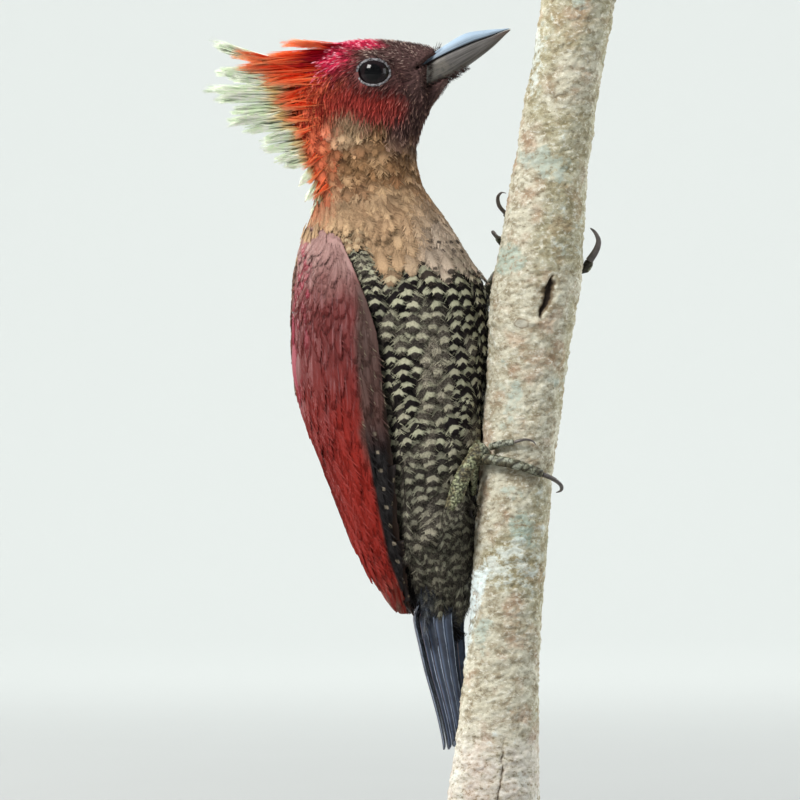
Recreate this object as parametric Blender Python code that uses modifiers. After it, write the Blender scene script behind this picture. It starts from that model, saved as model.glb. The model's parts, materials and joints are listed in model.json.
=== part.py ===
"""A banded woodpecker clinging to a cut length of stem, held by a display stand.

The bird climbs head-up on the left of the stem. +Z is up, +X points from the bird
to the stem and -Y is the bird's right side. The origin is the centre of the
underside of the stand's base. Lengths are millimetres, scaled by MM into metres.
"""

import math
from typing import NamedTuple

import bmesh
import bpy
from mathutils import Matrix, Vector

MM = 0.001
GAP = 0.3
WELD = 0.01
OBJECT_NAME = "banded_woodpecker"

# The stand and the perch
BASE_RADIUS = 75.0
BASE_THICKNESS = 12.0
BASE_EDGE = 1.6
BASE_SIDES = 40
ROD_RADIUS = 3.5
ROD_SIDES = 16
PERCH_BOTTOM = 47.0
PERCH_TOP = 303.0
PERCH_RADIUS = 11.2
PERCH_FOOT_X = 18.6
PERCH_LEAN = (15.4, 2.6, 9.6)
PERCH_LUMP = 0.22
PERCH_SIDES = 20
PERCH_RINGS = 20
PERCH_BED = 0.9

# The bird's stance
TRUNK_TURN = math.radians(15.0)
HEAD_TURN = math.radians(3.0)
TRUNK_DEPTH_Y = 11.5
HEAD_DEPTH_Y = 8.5
BODY_SIDES = 24

# The head
EYE_RADIUS = 5.4
EYE_X = -16.8
EYE_Z = 273.1
EYE_SUNK = 3.7
BILL_PITCH = math.radians(28.2)
BILL_ORIGIN_X = 3.0
BILL_ORIGIN_Z = 274.9
BILL_SIDES = 9

# The tail
TAIL_LENGTHS = (1.0, 0.95, 0.87, 0.76, 0.62)
TAIL_BACK_X = (-5.0, -3.4, -1.6, 0.6, 2.6, 4.0)
TAIL_ROOT_RADIUS = 12.5
TAIL_TIP_RADIUS = 7.5
TAIL_STEP = math.radians(17.5)
TAIL_LAYER = 0.95
TAIL_THICKNESS = 0.6
TAIL_VANE = math.radians(21.0)
TAIL_POINT = math.radians(2.8)
TAIL_BASE_Z = 108.8
TAIL_TIP_Z = 69.7


class Station(NamedTuple):
    """One cross-section of the body: its belly point, back point and half width."""

    belly_x: float
    belly_z: float
    back_x: float
    back_z: float
    half_width: float


BODY = (
    Station(9.0, 110.4, -4.0, 109.4, 7.4),      # end of the undertail coverts
    Station(13.4, 121.0, -11.0, 117.4, 12.6),   # vent
    Station(16.4, 136.0, -20.2, 132.0, 19.0),   # rump
    Station(18.2, 154.0, -28.4, 151.6, 23.5),   # lower belly
    Station(19.2, 175.0, -37.6, 173.5, 26.0),   # belly
    Station(18.6, 194.5, -40.2, 193.6, 27.0),   # breast
    Station(16.4, 210.0, -39.6, 211.0, 26.0),   # upper breast
    Station(10.6, 222.0, -37.4, 223.6, 23.0),   # shoulders
    Station(3.0, 233.5, -35.0, 232.6, 18.5),    # root of the neck
    Station(-1.6, 240.4, -35.0, 239.6, 16.5),   # lower neck
    Station(-3.2, 247.6, -37.8, 247.0, 15.5),   # neck
    Station(-3.0, 253.0, -40.0, 254.0, 15.0),   # throat
    Station(-1.5, 257.8, -42.0, 262.0, 14.8),   # jaw
    Station(0.3, 261.7, -42.4, 270.0, 14.5),    # nape
    Station(1.8, 264.4, -38.5, 277.8, 14.0),    # hind crown
    Station(3.0, 265.9, -30.0, 282.2, 13.2),    # ear
    Station(3.9, 267.0, -18.6, 283.8, 12.0),    # crown
    Station(4.5, 268.0, -7.8, 283.2, 10.2),     # forehead
    Station(5.2, 269.4, -0.8, 281.9, 8.2),      # lores
    Station(6.2, 271.4, 4.0, 280.2, 5.6),       # bristles round the bill
)
VENT, NECK_ROOT, JAW, FACE = 1.4, 7.85, 11.6, 19.0



class Swelling(NamedTuple):
    """Where the stem is thicker, by how much and over what length."""

    height: float
    rise: float
    spread: float


PERCH_SWELLINGS = (Swelling(207.0, 2.2, 30.0), Swelling(50.0, 3.0, 28.0))

# The wing's edges in degrees round the body, from its tip to its shoulder
WING_FRONT = (150.0, 119.0, 107.0, 96.0, 85.5, 85.0, 95.0, 108.0, 124.0)
WING_BACK = (173.0, 173.0, 174.0, 173.0, 170.0, 167.0, 163.0, 160.0, 156.0)

# The stations of the body where the wing's two layers start and end
WING_TOP, WING_FOOT = 7.55, 0.12
PRIMARY_TOP, PRIMARY_FOOT = 4.2, -0.08
WING_CLEARANCE = 2.5
WING_BED = 0.8
RUMP_BED = 3.1
RUMP_EDGE = math.radians(22.0)


def blend(low, high, share):
    """A value between two others."""
    return low + (high - low) * share


def smooth_step(low, high, value):
    """0 below low, 1 above high and a smooth rise between them."""
    share = min(max((value - low) / (high - low), 0.0), 1.0)
    return share * share * (3.0 - 2.0 * share)


def spline(values, place):
    """Catmull-Rom value at a fractional place along a list of numbers."""
    last = len(values) - 1
    index = min(max(int(math.floor(place)), 0), last - 1)
    share = place - index
    before = values[max(index - 1, 0)]
    start = values[index]
    end = values[index + 1]
    after = values[min(index + 2, last)]
    if share < 0.0 or share > 1.0:
        return blend(start, end, share)
    rise = 0.5 * (end - before)
    fall = 0.5 * (after - start)
    square = share * share
    cube = square * share
    return (
        start * (2.0 * cube - 3.0 * square + 1.0)
        + rise * (cube - 2.0 * square + share)
        + end * (3.0 * square - 2.0 * cube)
        + fall * (cube - square)
    )


def body_station(place):
    """The body's cross-section at a fractional station."""
    columns = zip(*BODY)
    return Station(*(spline(column, place) for column in columns))


def turn_at(place):
    """How far the belly is turned towards -Y, less and less up the neck."""
    return blend(TRUNK_TURN, HEAD_TURN, smooth_step(6.5, 13.0, place))


def depth_at(place):
    """The spine's Y at a station."""
    return blend(TRUNK_DEPTH_Y, HEAD_DEPTH_Y, smooth_step(6.0, 13.0, place))


def section_point(station, place, angle, offset=0.0):
    """A point of a cross-section: 0 is the belly, +90 degrees the bird's right."""
    turn = turn_at(place)
    half_x = 0.5 * (station.belly_x - station.back_x)
    half_z = 0.5 * (station.belly_z - station.back_z)
    reach = math.hypot(half_x, half_z)
    forward = Vector((half_x, -half_x * math.tan(turn), half_z)) / reach
    right = Vector((-math.sin(turn), -math.cos(turn), 0.0))
    centre = Vector((station.belly_x - half_x, depth_at(place), station.belly_z - half_z))
    ahead = forward * (reach + offset) * math.cos(angle)
    return centre + ahead + right * (station.half_width + offset) * math.sin(angle)


def body_ring(place):
    """The points of the body round one station."""
    station = body_station(place)
    angles = (math.tau * step / BODY_SIDES for step in range(BODY_SIDES))
    return [section_point(station, place, angle) for angle in angles]


def perch_radius(height):
    """The stem's radius, with its swelling by the feet and its thicker lower end."""
    radius = PERCH_RADIUS
    for swelling in PERCH_SWELLINGS:
        radius += swelling.rise * math.exp(-(((height - swelling.height) / swelling.spread) ** 2))
    return radius


def perch_axis(height):
    """The stem's centre: it leans over the bird, and more so near its top."""
    share = (height - PERCH_BOTTOM) / (PERCH_TOP - PERCH_BOTTOM)
    lean = sum(reach * share ** (power + 1) for power, reach in enumerate(PERCH_LEAN))
    return Vector((PERCH_FOOT_X + lean, 0.0, height))


def on_perch(degrees, height, lift):
    """A point over the bark: 180 degrees faces the bird, 270 is its right side."""
    reach = perch_radius(height) + lift
    angle = math.radians(degrees)
    return perch_axis(height) + Vector((math.cos(angle), math.sin(angle), 0.0)) * reach


def collection(name):
    """A new collection in the scene."""
    made = bpy.data.collections.new(name)
    bpy.context.scene.collection.children.link(made)
    return made


def material(name, colour, roughness, metallic=0.0):
    """A Principled material."""
    made = bpy.data.materials.new(name)
    made.use_nodes = True
    shader = made.node_tree.nodes["Principled BSDF"]
    shader.inputs["Base Color"].default_value = (*colour, 1.0)
    shader.inputs["Roughness"].default_value = roughness
    shader.inputs["Metallic"].default_value = metallic
    return made


def keep(mesh, name, finish, group):
    """An object of a millimetre mesh, scaled to metres, in a collection."""
    mesh.transform(Matrix.Scale(MM, 4))
    made = bpy.data.objects.new(name, mesh)
    if finish:
        mesh.materials.append(finish)
    mesh.shade_smooth()
    group.objects.link(made)
    return made


def mesh_from(points, faces, name):
    """A mesh whose faces all point outwards."""
    mesh = bpy.data.meshes.new(name)
    mesh.from_pydata(points, [], faces)
    shape = bmesh.new()
    shape.from_mesh(mesh)
    bmesh.ops.recalc_face_normals(shape, faces=shape.faces)
    shape.to_mesh(mesh)
    shape.free()
    return mesh


def loft(rings, name):
    """A closed body through rings of equal counts, with flat ends."""
    count = len(rings[0])
    points = [point for ring in rings for point in ring]
    faces = [tuple(range(count)), tuple(range(len(points) - count, len(points)))]
    for row in range(len(rings) - 1):
        start = row * count
        for side in range(count):
            after = (side + 1) % count
            faces.append((start + side, start + after, start + count + after, start + count + side))
    return mesh_from(points, faces, name)


def plate(outer, inner, name):
    """A closed plate between two like grids of points."""
    rows = len(outer)
    columns = len(outer[0])
    points = [point for row in outer for point in row]
    points += [point for row in inner for point in row]
    under = rows * columns
    faces = []
    for row in range(rows - 1):
        for column in range(columns - 1):
            corner = row * columns + column
            square = (corner, corner + 1, corner + columns + 1, corner + columns)
            faces.append(square)
            faces.append(tuple(under + index for index in reversed(square)))
    edge = [(0, column) for column in range(columns)]
    edge += [(row, columns - 1) for row in range(1, rows)]
    edge += [(rows - 1, column) for column in range(columns - 2, -1, -1)]
    edge += [(row, 0) for row in range(rows - 2, 0, -1)]
    for index, (row, column) in enumerate(edge):
        next_row, next_column = edge[(index + 1) % len(edge)]
        near = row * columns + column
        far = next_row * columns + next_column
        faces.append((near, under + near, under + far, far))
    return mesh_from(points, faces, name)


def tube(points, radii, name, resolution=2):
    """A tapering round tube through points, as one welded mesh."""
    curve = bpy.data.curves.new(name, "CURVE")
    curve.dimensions = "3D"
    curve.bevel_depth = 1.0
    curve.bevel_resolution = resolution
    curve.use_fill_caps = True
    line = curve.splines.new("POLY")
    line.points.add(len(points) - 1)
    for node, point, radius in zip(line.points, points, radii):
        node.co = (*point, 1.0)
        node.radius = radius
    holder = bpy.data.objects.new(name, curve)
    bpy.context.scene.collection.objects.link(holder)
    bpy.context.view_layer.update()
    evaluated = holder.evaluated_get(bpy.context.evaluated_depsgraph_get())
    mesh = bpy.data.meshes.new_from_object(evaluated)
    bpy.data.objects.remove(holder)
    bpy.data.curves.remove(curve)
    shape = bmesh.new()
    shape.from_mesh(mesh)
    bmesh.ops.remove_doubles(shape, verts=shape.verts, dist=WELD)
    bmesh.ops.recalc_face_normals(shape, faces=shape.faces)
    shape.to_mesh(mesh)
    shape.free()
    mesh.name = name
    return mesh


def grown(mesh, amount):
    """A copy of a mesh whose faces all lie an even distance further out."""
    copy = mesh.copy()
    shape = bmesh.new()
    shape.from_mesh(copy)
    shape.normal_update()
    moves = [vert.normal * amount * min(vert.calc_shell_factor(), 2.5) for vert in shape.verts]
    for vert, move in zip(shape.verts, moves):
        vert.co += move
    shape.to_mesh(copy)
    shape.free()
    return copy


def cutter(source, cutters, amount=GAP):
    """A cutter that is a grown copy of a finished object."""
    mesh = grown(source.data, amount * MM)
    made = bpy.data.objects.new(f"cut_{source.name}", mesh)
    cutters.objects.link(made)
    made.display_type = "WIRE"
    made.hide_render = True
    return made


def cut(target, tool):
    """Take a cutter's shape out of an object."""
    step = target.modifiers.new(tool.name, "BOOLEAN")
    step.operation = "DIFFERENCE"
    step.solver = "EXACT"
    step.object = tool
    return step


def smoothed(points, steps):
    """A smooth run of points through a few hand-set ones."""
    columns = list(zip(*points))
    run = []
    for step in range((len(points) - 1) * steps + 1):
        run.append(Vector([spline(column, step / steps) for column in columns]))
    return run


def rump_ring(place):
    """The body round a station of the rump, which lies lower under the wing tips."""
    station = body_station(place)
    front, _ = primary_edges(place)
    ring = []
    for step in range(BODY_SIDES):
        angle = math.tau * step / BODY_SIDES
        aside = math.pi - abs(angle - math.pi)
        covered = smooth_step(front - RUMP_EDGE, front - 0.3 * RUMP_EDGE, aside)
        ring.append(section_point(station, place, angle, -RUMP_BED * covered))
    return ring


def body_part(name, start, end, rings, finish, group, ring_at=body_ring):
    """A length of the body between two stations."""
    places = [blend(start, end, step / (rings - 1)) for step in range(rings)]
    return keep(loft([ring_at(place) for place in places], name), name, finish, group)


def place_gap(place):
    """The share of a station that makes a gap along the spine."""
    here = section_point(body_station(place), place, 0.5 * math.pi)
    there = section_point(body_station(place + 0.1), place + 0.1, 0.5 * math.pi)
    return 0.1 * GAP / (there - here).length


def make_body(group):
    """The trunk, the rump with its coverts, the neck and the head."""
    belly = material("barred_belly", (0.42, 0.33, 0.20), 0.85)
    buff = material("buff_neck", (0.50, 0.33, 0.17), 0.85)
    red = material("red_face", (0.36, 0.07, 0.05), 0.8)
    seams = {place: place_gap(place) for place in (VENT, NECK_ROOT, JAW)}
    return {
        "undertail": body_part("undertail", 0.0, VENT, 6, belly, group, rump_ring),
        "trunk": body_part("trunk", VENT + seams[VENT], NECK_ROOT, 15, belly, group),
        "neck": body_part("neck", NECK_ROOT + seams[NECK_ROOT], JAW, 7, buff, group),
        "head": body_part("head", JAW + seams[JAW], FACE, 14, red, group),
    }


def wing_station(place):
    """The body's section that carries the folded wing, slimmer past the rump."""
    base = body_station(place)
    past = smooth_step(2.2, 0.0, place)
    return base._replace(back_x=base.back_x - 2.3 * past, half_width=base.half_width - 0.8 * past)


def wing_edges(place):
    """The angles of the folded wing's front and back edges at a station."""
    return math.radians(spline(WING_FRONT, place)), math.radians(spline(WING_BACK, place))


def primary_places():
    """The stations of the primaries, from under the coverts to their tips."""
    rows = 8
    return [blend(PRIMARY_TOP, PRIMARY_FOOT, step / (rows - 1)) for step in range(rows)]


def primary_edges(place):
    """The angles of the primaries' edges: they show past the wing's front edge."""
    front, back = wing_edges(place)
    lead = math.radians(9.0) * smooth_step(-0.3, 1.5, place) * smooth_step(4.4, 2.6, place)
    return front - lead, blend(front, back, 0.75)


def wing_grid(side, places, columns, edges, low, swell):
    """A grid over the wing: low is its depth, swell its crown between the edges."""
    grid = []
    for place in places:
        front, back = edges(place)
        end = min(1.0, 4.0 * (1.0 - (place - places[-1]) / (places[0] - places[-1])) + 0.1)
        row = []
        for column in range(columns):
            share = column / (columns - 1)
            angle = blend(front, back, share) * side
            rise = low + swell * end * max(math.sin(math.pi * share), 0.0) ** 0.6
            row.append(section_point(wing_station(place), place, angle, rise))
        grid.append(row)
    return grid


def covert_places():
    """The stations of the coverts, from the shoulder to the rump."""
    rows = 13
    return [blend(WING_TOP, WING_FOOT, step / (rows - 1)) for step in range(rows)]


class Layer(NamedTuple):
    """One layer of the folded wing: its stations, edges, depths and crown."""

    name: str
    places: list
    edges: object
    columns: int
    top: float
    crown: float
    bottom: float


COVERTS = Layer("wing", covert_places(), wing_edges, 7, 0.35, 2.1, -1.0)
PRIMARIES = Layer("primaries", primary_places(), primary_edges, 5, -1.4, 0.0, -2.25)


def wing_layer(layer, side, label, finish, group):
    """A layer of the wing, as a closed plate."""
    name = f"{layer.name}_{label}"
    outer = wing_grid(side, layer.places, layer.columns, layer.edges, layer.top, layer.crown)
    inner = wing_grid(side, layer.places, layer.columns, layer.edges, layer.bottom, 0.0)
    return keep(plate(outer, inner, name), name, finish, group)


def wing_bed(layer, side, label, cutters):
    """The cutter that opens the flank over a layer and a little under it."""
    margin = math.radians(1.5)
    places = list(layer.places)
    places[0] += 0.08
    places[-1] -= 0.2

    def edges(place):
        front, back = layer.edges(place)
        return front - margin, back + margin

    name = f"cut_{layer.name}_{label}"
    outer = wing_grid(side, places, layer.columns, edges, WING_CLEARANCE, 0.0)
    inner = wing_grid(side, places, layer.columns, edges, layer.bottom - WING_BED, 0.0)
    made = keep(plate(outer, inner, name), name, None, cutters)
    made.display_type = "WIRE"
    made.hide_render = True
    return made


def make_wing(side, label, group, cutters):
    """A folded wing: the red coverts and the dark primaries under them."""
    red = material(f"red_wing_{label}", (0.30, 0.03, 0.02), 0.7)
    dark = material(f"dark_primaries_{label}", (0.03, 0.025, 0.02), 0.6)
    wing_layer(COVERTS, side, label, red, group)
    wing_layer(PRIMARIES, side, label, dark, group)
    return [wing_bed(layer, side, label, cutters) for layer in (PRIMARIES, COVERTS)]


def head_surface(x, z, side):
    """The point on the side of the head at an X and Z, and the way out of it."""
    steps = 60
    points = []
    for step in range(steps):
        place = blend(JAW, FACE - 1.0, step / (steps - 1))
        station = body_station(place)
        for turn in range(steps):
            points.append(section_point(station, place, side * math.pi * turn / steps))
    nearest = min(points, key=lambda point: math.hypot(point.x - x, point.z - z))
    return nearest, Vector((-math.sin(HEAD_TURN), -math.cos(HEAD_TURN), 0.0)) * side


def make_eye(side, label, group):
    """An eyeball that sits deep in the head."""
    dark = material(f"dark_eye_{label}", (0.02, 0.008, 0.005), 0.05)
    surface, outward = head_surface(EYE_X, EYE_Z, side)
    centre = surface - outward * EYE_SUNK
    centre.x, centre.z = EYE_X, EYE_Z
    shape = bmesh.new()
    bmesh.ops.create_icosphere(shape, subdivisions=2, radius=EYE_RADIUS)
    mesh = bpy.data.meshes.new(f"eye_{label}")
    shape.to_mesh(mesh)
    shape.free()
    mesh.transform(Matrix.Translation(centre))
    return keep(mesh, f"eye_{label}", dark, group)


def bill_point(along, up, aside):
    """A point in the bill's own frame: along it, up from it and to the right."""
    forward = Vector((math.cos(BILL_PITCH), 0.0, math.sin(BILL_PITCH)))
    upward = Vector((-math.sin(BILL_PITCH), 0.0, math.cos(BILL_PITCH)))
    turn = Matrix.Rotation(-HEAD_TURN, 3, "Z")
    origin = Vector((BILL_ORIGIN_X, HEAD_DEPTH_Y, BILL_ORIGIN_Z))
    return origin + turn @ (forward * along + upward * up + Vector((0.0, -1.0, 0.0)) * aside)


class BillStation(NamedTuple):
    """One section of the bill: culmen, cutting edge and keel heights, half width."""

    along: float
    culmen: float
    edge: float
    keel: float
    half_width: float


BILL = (
    BillStation(-4.0, 4.6, 2.7, -3.6, 4.5),
    BillStation(3.5, 5.3, 2.6, -3.9, 4.4),
    BillStation(11.5, 5.6, 2.0, -3.0, 3.3),
    BillStation(17.5, 3.6, 1.2, -1.9, 2.2),
    BillStation(22.0, 1.6, 0.7, -0.6, 1.2),
    BillStation(24.4, 0.55, 0.3, 0.0, 0.45),
)


def bill_ring(station, upper):
    """Half of a bill's section: a ridged roof above or a round keel below."""
    ring = []
    way = 1.0 if upper else -1.0
    edge = station.edge + way * 0.5 * GAP
    reach = (station.culmen if upper else station.keel) - edge
    roundness = 0.8 if upper else 0.65
    ridge = 1.1 if upper else 0.9
    for step in range(BILL_SIDES):
        angle = math.pi * step / (BILL_SIDES - 1)
        rise = reach * max(math.sin(angle), 0.0) ** ridge
        out = station.half_width * math.copysign(abs(math.cos(angle)) ** roundness, math.cos(angle))
        ring.append(bill_point(station.along, edge + rise, out))
    return ring


def make_bill(group):
    """The chisel bill, in two halves that meet along the cutting edge."""
    slate = material("slate_bill", (0.20, 0.22, 0.25), 0.4)
    horn = material("horn_bill", (0.24, 0.22, 0.19), 0.45)
    places = [len(BILL[1:]) * step / 8 for step in range(9)]
    made = []
    for name, upper, finish, reach in (("bill_upper", True, slate, 1.0), ("bill_lower", False, horn, 0.97)):
        columns = list(zip(*BILL))
        stations = [BillStation(*(spline(column, place * reach) for column in columns)) for place in places]
        rings = [bill_ring(station, upper) for station in stations]
        made.append(keep(loft(rings, name), name, finish, group))
    return made


class Lock(NamedTuple):
    """One lock of the crest: root and tip in X and Z, tip in Y, root size and bow."""

    root_x: float
    root_z: float
    tip_x: float
    tip_z: float
    tip_y: float
    tall: float
    bow: float


CREST = (
    Lock(-28.0, 280.0, -42.5, 283.4, 0.0, 4.4, 0.4),
    Lock(-33.0, 275.5, -67.2, 283.3, -1.5, 10.5, -3.0),
    Lock(-34.5, 271.5, -67.0, 273.8, 2.5, 10.0, -1.2),
    Lock(-35.0, 267.5, -69.3, 268.5, -2.0, 9.5, -0.8),
    Lock(-36.0, 263.5, -62.6, 261.0, 2.0, 9.0, -0.2),
    Lock(-36.5, 259.0, -52.6, 251.4, -2.0, 8.0, 0.8),
    Lock(-35.5, 254.0, -46.4, 245.8, 2.0, 6.5, 0.8),
    Lock(-34.0, 249.0, -40.6, 239.6, -1.5, 5.0, 0.8),
    Lock(-32.0, 243.0, -37.4, 231.3, 1.0, 4.5, 0.6),
)


NAPE_RIDGE = (
    (-31.0, 281.5), (-39.0, 277.0), (-42.5, 270.0), (-42.8, 262.0),
    (-40.8, 254.5), (-38.6, 247.5), (-36.4, 240.5), (-35.5, 235.5),
)
RIDGE_RADIUS = 5.0
LOCK_WIDTH = 4.4
LOCK_TWIST = math.radians(17.0)


def crest_lock(lock, name):
    """A flattened lock that runs from the head to a fine tip."""
    root = Vector((lock.root_x, HEAD_DEPTH_Y + 0.3 * lock.tip_y, lock.root_z))
    tip = Vector((lock.tip_x, HEAD_DEPTH_Y + lock.tip_y, lock.tip_z))
    along = (tip - root).normalized()
    aside = Vector((0.0, 1.0, 0.0))
    across = along.cross(aside).normalized()
    rings = []
    for step in range(6):
        share = step / 5
        taper = (1.0 - share**1.6) * 0.94 + 0.06
        bend = across * lock.bow * math.sin(math.pi * share)
        centre = root.lerp(tip, share) + bend
        ring = []
        for corner in range(6):
            angle = math.tau * corner / 6 + LOCK_TWIST
            tall = across * (0.5 * lock.tall * taper * math.cos(angle))
            wide = aside * ((0.5 + LOCK_WIDTH * taper * (1.0 - 0.45 * share)) * math.sin(angle))
            ring.append(centre + tall + wide)
        rings.append(ring)
    return loft(rings, name)


def make_crest(head, neck, group, cutters):
    """The shaggy crest: a soft ridge down the nape, joined with its locks."""
    orange = material("orange_crest", (0.75, 0.16, 0.05), 0.8)
    ridge = [Vector((x, HEAD_DEPTH_Y, z)) for x, z in NAPE_RIDGE]
    last = len(ridge) - 1
    widths = [RIDGE_RADIUS * blend(0.55, 1.0, math.sin(math.pi * step / last)) for step in range(last + 1)]
    crest = keep(tube(ridge, widths, "crest", 1), "crest", orange, group)
    for index, lock in enumerate(CREST):
        name = f"join_lock_{index}"
        part = keep(crest_lock(lock, name), name, orange, cutters)
        part.display_type = "WIRE"
        part.hide_render = True
        join = crest.modifiers.new(name, "BOOLEAN")
        join.operation = "UNION"
        join.solver = "EXACT"
        join.object = part
    for part in (head, neck):
        cut(crest, cutter(part, cutters))
    return crest


def tail_axis(height):
    """The line that the tail feathers curve round."""
    share = (TAIL_BASE_Z - height) / (TAIL_BASE_Z - TAIL_TIP_Z)
    back_x = spline(TAIL_BACK_X, (len(TAIL_BACK_X) - 1) * share)
    return Vector((back_x + tail_radius(share), TRUNK_DEPTH_Y - 1.0 - 2.5 * share, height))


def tail_radius(share):
    """How far the tail feathers lie from that line, less towards the tip."""
    return blend(TAIL_ROOT_RADIUS, TAIL_TIP_RADIUS, share)


def tail_feather(side, index, name):
    """A stiff pointed feather, curved round the tail's line."""
    length = (TAIL_BASE_Z - TAIL_TIP_Z) * TAIL_LENGTHS[index]
    middle = side * (0.45 + index) * TAIL_STEP
    layer = TAIL_LAYER * (index if index == 0 and side > 0 else index + 1)
    outer = []
    inner = []
    rows = 7
    for row in range(rows):
        share = row / (rows - 1)
        height = TAIL_BASE_Z - length * share
        reach = tail_radius((TAIL_BASE_Z - height) / (TAIL_BASE_Z - TAIL_TIP_Z)) - layer
        spread = TAIL_VANE * (1.0 - share**3) + TAIL_POINT
        backs = []
        unders = []
        for column in range(3):
            across = column - 1.0
            angle = middle + across * spread
            way = Vector((-math.cos(angle), -math.sin(angle), 0.0))
            way.rotate(Matrix.Rotation(-TRUNK_TURN, 3, "Z"))
            ridge = 0.12 * (1.0 - abs(across))
            backs.append(tail_axis(height) + way * (reach + ridge))
            unders.append(tail_axis(height) + way * (reach - TAIL_THICKNESS))
        outer.append(backs)
        inner.append(unders)
    return plate(outer, inner, name)


def make_tail(group):
    """The ten stiff feathers that prop the bird on the stem."""
    slate = material("tail_slate", (0.05, 0.05, 0.055), 0.6)
    for side, label in ((1, "right"), (-1, "left")):
        for index in range(len(TAIL_LENGTHS)):
            name = f"tail_feather_{label}_{index + 1}"
            keep(tail_feather(side, index, name), name, slate, group)


TOE_BED = 0.6


class Toe(NamedTuple):
    """A toe and its claw, as places round the stem: degrees, height and lift."""

    name: str
    path: tuple
    radius: float
    claw: tuple
    claw_radius: float
    in_feathers: bool


class Foot(NamedTuple):
    """A leg: the feathered thigh, the scaly shank and the toes."""

    label: str
    thigh: tuple
    thigh_radii: tuple
    shank: tuple
    shank_radii: tuple
    toes: tuple


RIGHT_FOOT = Foot(
    "right",
    ((-2.0, -2.5, 147.0), (2.0, -6.0, 140.0), (5.2, -8.6, 137.0)),
    (6.5, 6.0, 3.6),
    ((5.9, -9.3, 139.2), (7.6, -10.4, 146.0), (10.0, -10.4, 152.5), (13.6, -8.6, 158.8)),
    (2.3, 2.4, 2.4, 2.1),
    (
        Toe("front_middle", ((227, 160.9, 1.7), (244, 162.0, 1.4), (261, 162.4, 1.3)), 1.15,
            ((264, 162.6, 1.5), (275, 163.2, 1.7), (286, 162.8, 1.2), (293, 161.6, 0.7)), 0.75, False),
        Toe("outer", ((221, 157.4, 2.3), (242, 156.9, 2.1), (266, 155.8, 2.0), (288, 154.2, 1.9),
                      (303, 153.0, 1.8)), 1.7,
            ((307, 152.6, 1.7), (321, 151.3, 2.9), (334, 149.6, 3.5), (344, 148.0, 2.9),
             (350, 147.2, 1.1)), 1.05, False),
        Toe("front_inner", ((197, 161.5, 1.9), (181, 164.5, 1.7), (165, 167.0, 1.6)), 1.3,
            ((161, 167.6, 1.6), (151, 168.8, 2.2), (142, 169.0, 1.7), (136, 168.4, 0.7)), 0.8, True),
        Toe("hallux", ((199, 155.6, 1.9), (189, 150.5, 1.5), (180, 146.5, 1.3)), 1.1,
            ((178, 145.6, 1.3), (174, 142.8, 1.9), (171, 140.6, 1.5), (170, 139.2, 0.7)), 0.7, True),
    ),
)

LEFT_FOOT = Foot(
    "left",
    ((10.0, 25.5, 174.0), (11.5, 27.6, 188.0), (13.8, 26.6, 200.5)),
    (6.2, 5.6, 3.6),
    ((14.4, 26.0, 203.2), (19.0, 23.0, 209.5), (24.0, 18.6, 216.5), (27.3, 16.4, 221.0)),
    (2.3, 2.4, 2.4, 2.2),
    (
        Toe("outer", ((101, 219.0, 2.7), (76, 216.4, 2.3), (48, 214.6, 2.2), (24, 214.6, 2.1),
                      (8, 216.4, 2.0)), 1.7,
            ((4, 217.6, 2.1), (2, 220.0, 3.7), (0, 222.8, 4.2), (358, 225.2, 3.0),
             (357, 226.6, 1.4)), 1.2, False),
        Toe("front_middle", ((118, 226.0, 1.9), (132, 229.0, 1.7), (147, 231.0, 1.5)), 1.3,
            ((152, 231.6, 1.6), (163, 233.4, 2.5), (172, 235.8, 2.9), (179, 237.2, 2.0),
             (186, 237.0, 0.6)), 0.8, False),
        Toe("front_inner", ((125, 221.0, 2.0), (142, 222.2, 1.6), (157, 223.6, 1.4)), 1.2,
            ((161, 224.0, 1.5), (170, 225.2, 2.3), (177, 225.6, 2.2), (183, 224.4, 0.8)), 0.75, False),
        Toe("hallux", ((106, 214.8, 1.9), (102, 209.8, 1.5), (100, 205.6, 1.3)), 1.1,
            ((99, 204.6, 1.3), (98, 201.8, 1.9), (97, 199.4, 1.5), (97, 198.0, 0.7)), 0.7, False),
    ),
)


def toe_mesh(path, radius, name):
    """A toe that thins a little towards its claw and is round at both ends."""
    points = smoothed([on_perch(*place) for place in path], 2)
    last = len(points) - 1
    radii = [radius * blend(1.0, 0.8, step / last) for step in range(last + 1)]
    radii[0] *= 0.72
    radii[-1] *= 0.85
    return tube(points, radii, name)


def claw_mesh(path, radius, name):
    """A hooked claw that tapers to its tip."""
    points = smoothed([on_perch(*place) for place in path], 1)
    last = len(points) - 1
    radii = [radius * (1.0 - 0.72 * (step / last) ** 1.5) for step in range(last + 1)]
    return tube(points, radii, name, 1)


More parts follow.
